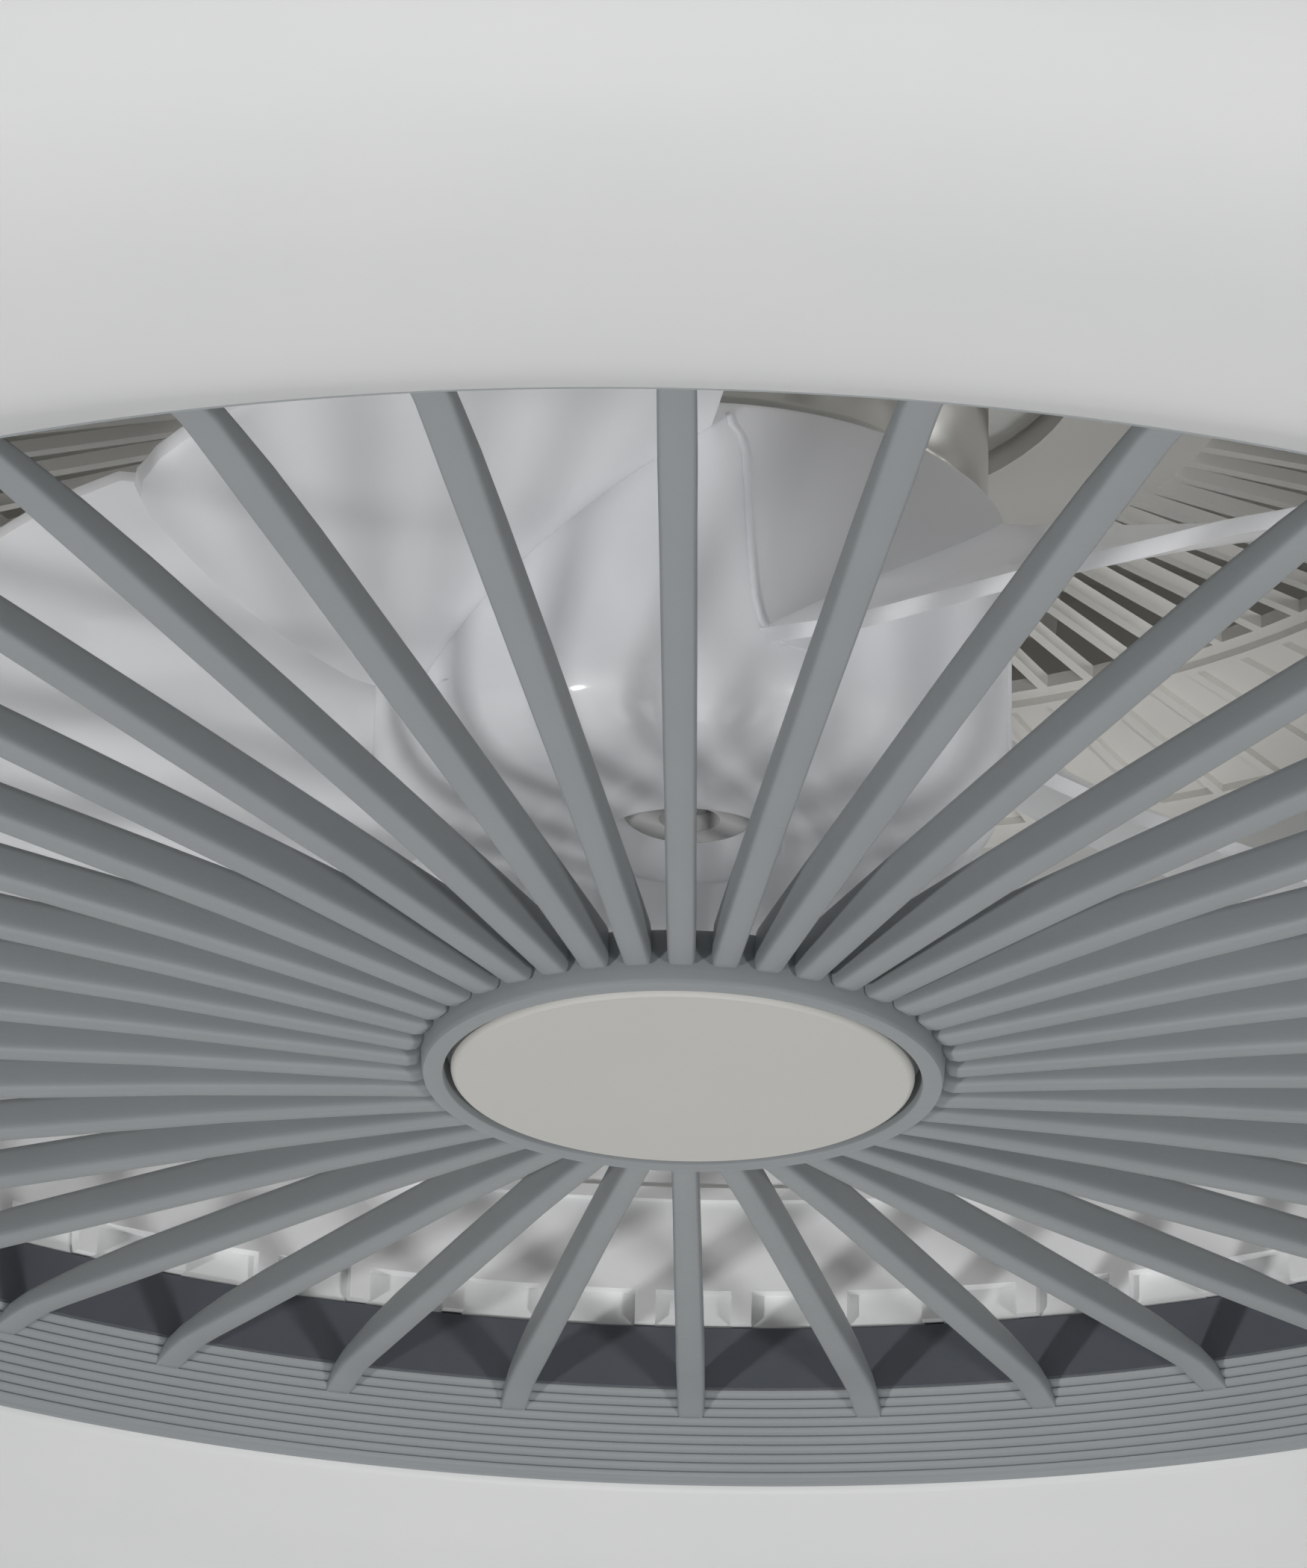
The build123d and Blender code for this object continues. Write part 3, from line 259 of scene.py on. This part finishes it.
grained_white = moulded(
    "grained_white_abs", "#dededb", "#d8d8d5", mottle=20, grain=0.7, rough=0.5, depth=0.05
)
dress(grained_white, "light_driver", "control_box", "light_plug", "impeller_nut")

# Terminal block. A moulding of natural polyamide with three screw wells, fixed under
# the pan beside the grommet: a warm cream that yellows a little in patches.
polyamide = moulded(
    "natural_polyamide", "#d9d3c0", "#cbc3aa", mottle=6, grain=0.5, rough=0.42, depth=0.03
)
dress(polyamide, "terminal_block")

# Leads. Soft PVC sleeves on the mains, motor and light leads, smooth from the extruder
# with faint handling marks.
white_sleeve = moulded(
    "white_pvc_sleeve", "#d7d7d3", "#cbcbc6", mottle=9, grain=1.5, rough=0.36, depth=0.02
)
black_sleeve = moulded(
    "black_pvc_sleeve", "#262627", "#1b1b1c", mottle=9, grain=1.5, rough=0.34, depth=0.02
)
dress(white_sleeve, "mains_lead", "light_lead")
dress(black_sleeve, "motor_lead")

# Stator and rotor. Stacked silicon-steel sheets, whose edges show as fine level lines.
# The real sheets are 0.5 mm thick and are drawn as 1 mm lines so that they show.
# A wave pattern at a scale of 1 repeats every wave_spacing metres.
wave_spacing = 2 * pi / 20
sheet = 1.0
sheet_greys = {"data_type": "RGBA", 6: linear("#4f5256"), 7: linear("#85888c")}
stacked, tree = fresh("silicon_steel_stack")
where = {"Vector": (add(tree, "ShaderNodeTexCoord"), "Object")}
lines = add(
    tree,
    "ShaderNodeTexWave",
    {"bands_direction": "Z", "Scale": wave_spacing * 1000 / sheet, "Distortion": 0.2},
    where,
)
tint = add(tree, "ShaderNodeMix", sheet_greys, {0: (lines, "Fac")})
relief = add(tree, "ShaderNodeBump", {"Strength": 0.4, "Distance": 0.0002}, {"Height": (lines, "Fac")})
surface(tree, {"Metallic": 0.9, "Roughness": 0.42}, {"Base Color": (tint, 2), "Normal": (relief, 0)})
dress(stacked, "stator_core", "rotor_core")

# Coils. Enamelled copper wire, wound round the eight poles of the stator in rows about
# 0.8 mm apart, under a clear varnish.
wire = 0.8
copper_browns = {"data_type": "RGBA", 6: linear("#5c2a14"), 7: linear("#b4693a")}
copper, tree = fresh("enamelled_copper_wire")
where = {"Vector": (add(tree, "ShaderNodeTexCoord"), "Object")}
turns = add(
    tree,
    "ShaderNodeTexWave",
    {
        "wave_type": "RINGS",
        "rings_direction": "Z",
        "Scale": wave_spacing * 1000 / wire,
        "Distortion": 0.4,
    },
    where,
)
tint = add(tree, "ShaderNodeMix", copper_browns, {0: (turns, "Fac")})
relief = add(tree, "ShaderNodeBump", {"Strength": 0.6, "Distance": 0.0004}, {"Height": (turns, "Fac")})
surface(
    tree,
    {"Metallic": 0.7, "Roughness": 0.32, "Coat Weight": 0.4, "Coat Roughness": 0.15},
    {"Base Color": (tint, 2), "Normal": (relief, 0)},
)
dress(copper, "stator_coils")

# Shaft, drive pin and bearings. Ground bearing steel: bright, with fine turning marks
# drawn 0.6 mm apart.
turning = 0.6
ground_greys = {"data_type": "RGBA", 6: linear("#a4a6a9"), 7: linear("#b6b8bb")}
ground, tree = fresh("ground_bearing_steel")
where = {"Vector": (add(tree, "ShaderNodeTexCoord"), "Object")}
marks = add(
    tree,
    "ShaderNodeTexWave",
    {"bands_direction": "Z", "Scale": wave_spacing * 1000 / turning, "Distortion": 1.5},
    where,
)
gloss = add(tree, "ShaderNodeMapRange", {"To Min": 0.18, "To Max": 0.3}, {"Value": (marks, "Fac")})
tint = add(tree, "ShaderNodeMix", ground_greys, {0: (marks, "Fac")})
surface(tree, {"Metallic": 1.0}, {"Base Color": (tint, 2), "Roughness": (gloss, 0)})
dress(ground, "motor_shaft", "drive_pin", "lower_bearing", "upper_bearing")


# Motor can and cover. Deep-drawn steel with a chrome plate: bright, with long soft
# ripples about 14 mm apart left by the drawing, and light polishing haze.
def turned(name, body, profile, rounds=None, steps=256, sharp=35, start=0.0, sweep=2 * pi):
    """Ring turned about Z from points of radius and height in mm.

    Corners that rounds names are rounded by its mm. Edges bent by more than sharp
    degrees stay crisp. A part of a ring has a start and a sweep in radians.
    """
    work = bmesh.new()
    points = [work.verts.new((r / 1000, 0, z / 1000)) for r, z in profile]
    work.faces.new(points)
    on_axis = 1e-7
    axis = [e for e in work.edges if all(v.co.x < on_axis for v in e.verts)]
    for corner, radius in (rounds or {}).items():
        bmesh.ops.bevel(
            work,
            geom=[points[corner]],
            offset=radius / 1000,
            offset_type="OFFSET",
            segments=6,
            profile=0.5,
            affect="VERTICES",
            material=-1,
        )
    full = sweep >= 2 * pi
    if full:
        bmesh.ops.delete(work, geom=work.faces[:], context="FACES_KEEP_BOUNDARY")
        bmesh.ops.delete(work, geom=[e for e in axis if e.is_valid], context="EDGES")
    bmesh.ops.rotate(work, verts=work.verts, cent=(0, 0, 0), matrix=Matrix.Rotation(start, 3, "Z"))
    bmesh.ops.spin(
        work,
        geom=work.verts[:] + work.edges[:] + work.faces[:],
        cent=(0, 0, 0),
        axis=(0, 0, 1),
        angle=sweep,
        steps=steps,
        use_merge=full,
    )
    touching = 1e-6
    bmesh.ops.remove_doubles(work, verts=work.verts, dist=touching)
    return piece_from(name, body, work, sharp)


def piece_from(name, body, work, sharp=35):
    """Finish a bmesh as a smooth-shaded piece that rides on a body."""
    bmesh.ops.recalc_face_normals(work, faces=work.faces)
    mesh = bpy.data.meshes.new(name)
    for face in work.faces:
        face.smooth = True
    work.to_mesh(mesh)
    work.free()
    mesh.set_sharp_from_angle(angle=radians(sharp))
    piece = bpy.data.objects.new(name, mesh)
    bpy.context.scene.collection.objects.link(piece)
    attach(piece, body)
    return piece


ripple = 14
chrome_greys = {"data_type": "RGBA", 6: linear("#cfcfcb"), 7: linear("#ecebe8")}
chrome, tree = fresh("chrome_plated_steel")
where = {"Vector": (add(tree, "ShaderNodeTexCoord"), "Object")}
wave = add(tree, "ShaderNodeTexNoise", {"Scale": 1000 / ripple, "Detail": 1}, where)
tint = add(tree, "ShaderNodeMix", chrome_greys, {0: (wave, 0)})
gloss = add(tree, "ShaderNodeMapRange", {"To Min": 0.12, "To Max": 0.3}, {"Value": (wave, 0)})
relief = add(tree, "ShaderNodeBump", {"Strength": 0.5, "Distance": 0.0012}, {"Height": (wave, 0)})
surface(tree, {"Metallic": 0.8}, {"Base Color": (tint, 2), "Roughness": (gloss, 0), "Normal": (relief, 0)})
dress(chrome, "motor_cover")
can_profile = (
    (7, -95), (39, -95), (39, -62), (51, -62), (51, -60.8), (37.8, -60.8), (37.8, -93.8),
    (13, -93.8), (13, -86.8), (11, -86.8), (11, -93.8), (7, -93.8),
)
can_rounds = {1: 5, 6: 3.8, 2: 0.8}
can = turned("motor_shell", "housing", can_profile, can_rounds)
can.data.materials.append(chrome)
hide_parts("motor_can")

# Slotted plate, louvre drum and air duct. Moulded white ABS with a light satin from the
# tool: the plate and the drum a warm white, the duct a cooler and smoother one.
satin_white = moulded(
    "satin_white_abs", "#e6e4df", "#e0ded9", mottle=45, grain=0.9, rough=0.42, depth=0.03
)
dress(satin_white, "slotted_plate", "louvre_drum")
duct_white = moulded(
    "smooth_white_abs", "#eaebeb", "#e4e5e5", mottle=60, grain=1.2, rough=0.38, depth=0.02
)
dress(duct_white, "air_duct")

# Light boards. Aluminium strip under white solder resist, smooth and a little glossy,
# with the faint outline of its tracks 3 mm apart.
track = 3
resist_whites = {"data_type": "RGBA", 6: linear("#e4e5e2"), 7: linear("#dadcd8")}
resist, tree = fresh("white_solder_resist")
where = {"Vector": (add(tree, "ShaderNodeTexCoord"), "Object")}
tracks = add(
    tree,
    "ShaderNodeTexWave",
    {"wave_type": "RINGS", "rings_direction": "Z", "Scale": wave_spacing * 1000 / track},
    where,
)
edge = add(tree, "ShaderNodeMapRange", {"From Min": 0.8, "From Max": 0.95}, {"Value": (tracks, "Fac")})
tint = add(tree, "ShaderNodeMix", resist_whites, {0: (edge, 0)})
relief = add(tree, "ShaderNodeBump", {"Strength": 0.3, "Distance": 0.00005}, {"Height": (edge, 0)})
surface(tree, {"Roughness": 0.3, "IOR": 1.5}, {"Base Color": (tint, 2), "Normal": (relief, 0)})
dress(resist, "light_boards")

# Light chips. Yellow phosphor set in silicone, in two rows on each board: soft,
# slightly uneven and waxy.
gel = 1.5
phosphor_yellows = {"data_type": "RGBA", 6: linear("#d9c25c"), 7: linear("#e8d67c")}
phosphor, tree = fresh("phosphor_silicone")
where = {"Vector": (add(tree, "ShaderNodeTexCoord"), "Object")}
grain = add(tree, "ShaderNodeTexNoise", {"Scale": 1000 / gel, "Detail": 3}, where)
tint = add(tree, "ShaderNodeMix", phosphor_yellows, {0: (grain, 0)})
surface(
    tree,
    {"Roughness": 0.35, "IOR": 1.43, "Subsurface Weight": 0.2, "Subsurface Scale": 0.001},
    {"Base Color": (tint, 2)},
)
dress(phosphor, "light_chips")

# Impeller. One moulding of smoky clear polycarbonate, frosted by its thickness: a pale
# lavender grey that hides what is behind it, with a faint painted glow for the light it carries.
frost = 30
smoky_greys = {"data_type": "RGBA", 6: linear("#dcdde1"), 7: linear("#e6e7ea")}
smoky, tree = fresh("smoky_polycarbonate")
where = {"Vector": (add(tree, "ShaderNodeTexCoord"), "Object")}
cloud = add(tree, "ShaderNodeTexNoise", {"Scale": 1000 / frost, "Detail": 2}, where)
tint = add(tree, "ShaderNodeMix", smoky_greys, {0: (cloud, 0)})
gloss = add(tree, "ShaderNodeMapRange", {"To Min": 0.4, "To Max": 0.5}, {"Value": (cloud, 0)})
surface(
    tree,
    {
        "IOR": 1.45,
        "Subsurface Weight": 0.6,
        "Subsurface Radius": (1, 1, 1),
        "Subsurface Scale": 0.015,
        # The emission is a painted glow: the impeller is no lamp.
        "Emission Color": (0.97, 0.98, 1, 1),
        "Emission Strength": 0.075,
        "Coat Weight": 0.4,
        "Coat Roughness": 0.08,
        "Coat IOR": 1.5,
    },
    {"Base Color": (tint, 2), "Roughness": (gloss, 0)},
)
cup_profile = (
    (4.05, -122), (4.05, -100), (9, -100), (9, -120), (14, -120.6), (14, -135), (40, -135),
    (40, -92.6), (42, -92.6), (42, -137), (12, -137), (12, -124), (4.05, -124),
)
cup_rounds = {6: 9, 7: 0.9, 8: 0.9, 9: 11, 10: 0.8, 3: 2, 5: 2, 4: 1.5}
cup = turned("impeller_cup", "rotor", cup_profile, cup_rounds, steps=320)
cup.data.materials.append(smoky)
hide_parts("impeller")


# Parting lines. The tool leaves a fine raised line down the cup from its rim to each
# blade's trailing root: turn in degrees from the near side, then height in mm.
def repeat_round(work, count):
    """Copy all of a bmesh evenly round Z, which makes count of it."""
    bmesh.ops.spin(
        work,
        geom=work.verts[:] + work.edges[:] + work.faces[:],
        cent=(0, 0, 0),
        axis=(0, 0, 1),
        angle=2 * pi * (count - 1) / count,
        steps=count - 1,
        use_duplicate=True,
    )


blade_count = 5
seam_path = (
    (6.0, -94.5), (6.4, -96.0), (8.0, -97.4), (8.9, -99.5), (9.4, -104.0), (9.9, -109.7),
    (10.6, -115.5), (11.3, -120.1), (12.6, -123.4), (14.6, -125.5), (17.0, -126.4),
    (20.0, -126.6), (24.0, -126.5),
)
seam_reach = 0.04195
seam_thick = 0.0005
seam_work = bmesh.new()
last = None
for turn, height in seam_path:
    angle = radians(turn)
    place = Vector((seam_reach * sin(angle), -seam_reach * cos(angle), height / 1000))
    stand = Matrix.Translation(place) @ Matrix.Rotation(angle, 4, "Z")
    loop = bmesh.ops.create_circle(seam_work, segments=8, radius=seam_thick, matrix=stand)["verts"]
    edges = list({e for v in loop for e in v.link_edges})
    if last:
        bmesh.ops.bridge_loops(seam_work, edges=last + edges)
    last = edges
repeat_round(seam_work, blade_count)
seams = piece_from("cup_seams", "rotor", seam_work, 60)
seams.data.materials.append(smoky)
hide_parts("impeller")

# Blades. Each row runs from the trailing to the leading edge: radius, then azimuth from
# the near side and height of both edges. The outer rows pull in to round the tip.
blade_rows = (
    (41.2, -58.5, -126.0, 2.8, -96.4),
    (48, -54.3, -127.8, 3.5, -97.0),
    (55, -51.0, -129.5, 4.0, -97.5),
    (68, -46.0, -131.0, 4.0, -98.5),
    (80, -42.5, -132.0, 3.5, -99.5),
    (88, -40.5, -132.5, 0.0, -102.7),
    (96, -38.5, -133.0, -4.5, -106.8),
    (103, -37.0, -133.2, -10.0, -111.6),
    (109, -35.9, -133.4, -15.0, -116.1),
    (113, -34.8, -133.4, -20.0, -120.5),
    (115.6, -33.6, -132.9, -24.2, -124.5),
    (116.9, -31.9, -131.4, -28.2, -128.1),
)
chord_steps = 10
blade_thick = 0.002
blade_work = bmesh.new()
last = None
for radius, low_turn, low, high_turn, high in blade_rows:
    reach = radius / 1000
    row = []
    for step in range(chord_steps + 1):
        share = step / chord_steps
        turn = radians(low_turn + share * (high_turn - low_turn))
        height = low + share * (high - low)
        row.append(blade_work.verts.new((reach * sin(turn), -reach * cos(turn), height / 1000)))
    edges = [blade_work.edges.new(pair) for pair in zip(row, row[1:])]
    if last:
        bmesh.ops.bridge_loops(blade_work, edges=last + edges)
    last = edges
bmesh.ops.subdivide_edges(blade_work, edges=blade_work.edges[:], cuts=2, use_grid_fill=True, smooth=0.6)
bmesh.ops.recalc_face_normals(blade_work, faces=blade_work.faces)
bmesh.ops.solidify(blade_work, geom=blade_work.faces[:], thickness=blade_thick)
repeat_round(blade_work, blade_count)
blades = piece_from("impeller_blades", "rotor", blade_work, 50)
blades.data.materials.append(smoky)
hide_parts("impeller")

# Grille. One moulding of grey ABS with a fine satin paint: hub, forty bars with flat
# undersides and rounded edges, a wall, and a flare of ten fine ribs that ends in a
# rolled lip.
satin_grey = moulded(
    "satin_grey_paint", "#8f9395", "#888c8e", mottle=18, grain=0.6, rough=0.46, depth=0.04, shine=0.2
)
wall_inside = 172.5
wall_outside = 174.5
wall_foot = -154.1
rib_count = 10
rib_out = 1.22
rib_down = 1.09
rib_shape = ((-0.14, 0.22), (-0.04, 0.50), (0.22, 0.76), (0.60, 0.90), (1.02, 0.97), (1.22, 1.09))
lip_profile = [
    (184.9, -165.4), (185.3, -165.65), (185.65, -165.5), (185.7, -165.1), (185.7, -164.6),
    (wall_outside, -153.3), (wall_outside, -152.0), (wall_inside, -152.0),
]
rib_profile = [(wall_inside, wall_foot)]
for i in range(rib_count):
    r = wall_inside + rib_out * i
    z = wall_foot - rib_down * i
    rib_profile += [(r + out, z - down) for out, down in rib_shape]
flare = turned("ribbed_flare", "grille", rib_profile + lip_profile, steps=360, sharp=30)
flare.data.materials.append(satin_grey)
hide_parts("grille")

# Bars. Their section is given as shares of the width and height, and their stations as
# radius, lift above a line that climbs outwards, width and height in mm. The foot of
# each is cut to stay inside the wall and, lower down, inside the flare.
bar_shape = (
    (-0.36, 0.0), (0.36, 0.0), (0.43, 0.04), (0.47, 0.10), (0.49, 0.20), (0.50, 0.32),
    (0.49, 0.80), (0.46, 0.96), (0.40, 1.0), (-0.40, 1.0), (-0.46, 0.96), (-0.49, 0.80),
    (-0.50, 0.32), (-0.49, 0.20), (-0.47, 0.10), (-0.43, 0.04),
)
bar_stations = (
    (33.3, 1.9, 1.6, 3.0), (33.5, 0.9, 2.3, 4.0), (33.9, 0.1, 2.9, 4.8), (34.6, -0.5, 3.3, 5.4),
    (35.8, -0.8, 3.55, 5.7), (42.0, -0.6, 3.7, 5.5), (55.0, -0.3, 3.75, 5.2), (70.0, 0.0, 3.85, 4.9),
    (103.0, 0.0, 4.1, 4.8), (135.0, 0.0, 4.25, 4.5), (150.0, 0.0, 4.4, 3.9), (160.0, 0.0, 4.35, 3.2),
    (166.0, -0.1, 4.3, 2.8), (171.0, -0.8, 4.2, 2.6), (174.8, -1.6, 4.1, 2.0), (176.4, -1.85, 3.8, 1.7),
    (177.1, -1.7, 3.1, 1.3), (177.5, -1.3, 2.0, 0.8),
)
bar_count = 40
line_at_axis = -170.24
line_slope = 0.0815
foot_reach = 173.4
foot_bend = -154.6
foot_slope = 1.1
bar_work = bmesh.new()
last = None
for radius, lift, width, height in bar_stations:
    low = line_at_axis + line_slope * radius + lift
    loop = []
    for across, along in bar_shape:
        z = low + along * height
        reach = min(radius, foot_reach + foot_slope * max(0, foot_bend - z))
        loop.append(bar_work.verts.new((reach / 1000, across * width / 1000, z / 1000)))
    edges = [bar_work.edges.new((a, b)) for a, b in zip(loop, loop[1:] + loop[:1])]
    if last:
        bmesh.ops.bridge_loops(bar_work, edges=last + edges)
    else:
        bar_work.faces.new(loop)
    last = edges
bmesh.ops.contextual_create(bar_work, geom=last)
repeat_round(bar_work, bar_count)
bars = piece_from("grille_bars", "grille", bar_work, 60)
bars.data.materials.append(satin_grey)
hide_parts("grille")

# Hub. A ring round the cap with a nearly upright skirt that carries the bars' roots,
# and a floor behind the cap.
hub_profile = (
    (30.9, -166.0), (30.9, -169.6), (31.05, -169.9), (31.3, -170.0), (33.2, -170.0),
    (33.5, -169.9), (33.65, -169.6), (33.75, -169.2), (34.2, -163.2), (34.0, -162.9),
    (0, -162.9), (0, -166.0),
)
hub = turned("grille_hub", "grille", hub_profile, sharp=40)
hub.data.materials.append(satin_grey)
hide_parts("grille")

# Wall and lugs. The upright ring above the flare is drawn in a darker slate grey than
# the bars, and four lugs on it turn into the duct's skirt.
slate = moulded(
    "slate_grey_abs", "#5b5e65", "#53565c", mottle=12, grain=0.6, rough=0.5, depth=0.04, shine=0.15
)
wall_profile = (
    (wall_inside, -144.2), (172.8, -143.9), (174.2, -143.9), (wall_outside, -144.2),
    (wall_outside, -151.9), (wall_inside, -154.05), (172.3, -153.9),
)
wall = turned("grille_wall", "grille", wall_profile, steps=360, sharp=40)
wall.data.materials.append(slate)
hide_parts("grille")

lug_count = 4
lug_degrees = 10
lug_profile = ((173.8, -146.2), (178.1, -146.2), (178.1, -148.0), (173.8, -148.0))
lug_rounds = {1: 0.4, 2: 0.4}
for i in range(lug_count):
    lug = turned(
        f"grille_lug_{i + 1}",
        "grille",
        lug_profile,
        lug_rounds,
        steps=12,
        start=radians(360 / lug_count * i - lug_degrees / 2),
        sweep=radians(lug_degrees),
    )
    lug.data.materials.append(slate)
    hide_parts("grille")

# Centre cap. Moulded white ABS, dead flat and matt, with a fine bevel round its face
# that catches the light, and three snap legs behind.
cap_profile = (
    (0, -168.4), (0, -170.0), (10.0, -170.0), (20.0, -170.0), (29.3, -170.0), (29.6, -169.85),
    (29.85, -169.55), (30.0, -169.1), (30.0, -166.2), (28.6, -166.2), (28.6, -168.4),
)
cap = turned("cap_face", "grille", cap_profile, sharp=25)
cap_white = moulded(
    "matt_white_abs", "#bebdb9", "#bab9b4", mottle=30, grain=0.6, rough=0.55, depth=0.03
)
cap.data.materials.append(cap_white)
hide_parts("centre_cap")

leg_count = 3
leg_radius = 0.002
leg_length = 0.0078
leg_middle = (0.02, 0, -0.1652)
leg_tip = -0.162
leg_edge = 0.0005
leg_work = bmesh.new()
bmesh.ops.create_cone(
    leg_work,
    cap_ends=True,
    segments=32,
    radius1=leg_radius,
    radius2=leg_radius,
    depth=leg_length,
    matrix=Matrix.Translation(leg_middle),
)
bmesh.ops.bevel(
    leg_work,
    geom=[e for e in leg_work.edges if all(v.co.z > leg_tip for v in e.verts)],
    offset=leg_edge,
    segments=2,
    profile=0.5,
    affect="EDGES",
    material=-1,
)
repeat_round(leg_work, leg_count)
legs = piece_from("cap_legs", "grille", leg_work)
legs.data.materials.append(cap_white)
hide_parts("centre_cap")

# Ring shade. Opal acrylic sheet about 2.5 mm thick, vacuum-formed to a smooth ring:
# an even, slightly cool white that light sinks into, with a soft satin shine. The
# flange inside its top edge is open at three gates for the tray's tabs.
shade_under = (
    (186.1, -165.8), (187.2, -166.45), (190.0, -167.85), (194.0, -169.95), (198.0, -172.05),
    (202.0, -174.1), (206.0, -175.8), (210.0, -177.9), (214.5, -180.0), (219.0, -181.8),
    (225.0, -183.35), (232.0, -184.25), (240.0, -184.5), (248.0, -184.45), (256.0, -184.1),
    (264.5, -182.6), (273.0, -179.9), (280.5, -176.0), (287.0, -170.9), (292.2, -165.0),
    (296.0, -158.4), (298.6, -151.6), (299.7, -145.0), (299.9, -136.0), (299.9, -107.6),
    (297.4, -107.6),
)
shade_over = (
    (297.3, -145.0), (296.0, -151.8), (293.4, -158.2), (284.9, -169.2), (271.5, -177.7),
    (256.0, -181.6), (240.0, -182.0), (226.0, -181.1), (214.5, -177.4), (206.0, -173.3),
    (194.0, -167.2), (189.2, -164.6), (188.6, -163.8), (188.6, -151.6), (188.2, -151.1),
    (186.6, -151.1), (186.1, -151.6),
)
shade = turned("shade_ring", "shade", shade_under + shade_over, steps=384, sharp=60)
haze = 1.5
glow_depth = 25
opal_whites = {"data_type": "RGBA", 6: linear("#d2d4d3"), 7: linear("#d7d8d7")}
opal, tree = fresh("opal_acrylic")
where = {"Vector": (add(tree, "ShaderNodeTexCoord"), "Object")}
cloud = add(tree, "ShaderNodeTexNoise", {"Scale": 1000 / glow_depth, "Detail": 2}, where)
tint = add(tree, "ShaderNodeMix", opal_whites, {0: (cloud, 0)})
mist = add(tree, "ShaderNodeTexNoise", {"Scale": 1000 / haze, "Detail": 1}, where)
skin = add(tree, "ShaderNodeBump", {"Strength": 0.1, "Distance": 0.00003}, {"Height": (mist, 0)})
surface(
    tree,
    {
        "Roughness": 0.45,
        "IOR": 1.49,
        "Subsurface Weight": 0.25,
        "Subsurface Radius": (1, 1, 1),
        "Subsurface Scale": 0.002,
    },
    {"Base Color": (tint, 2), "Normal": (skin, 0)},
)
shade.data.materials.append(opal)
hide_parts("ring_shade")

rim_count = 3
rim_from = 119
rim_degrees = 102
rim_profile = ((289, -107.5), (298.4, -107.5), (298.4, -110), (289, -110))
rim_rounds = {0: 0.5, 3: 0.5}
for i in range(rim_count):
    rim = turned(
        f"shade_rim_{i + 1}",
        "shade",
        rim_profile,
        rim_rounds,
        steps=96,
        start=radians(360 / rim_count * i + rim_from),
        sweep=radians(rim_degrees),
    )
    rim.data.materials.append(opal)
    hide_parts("ring_shade")
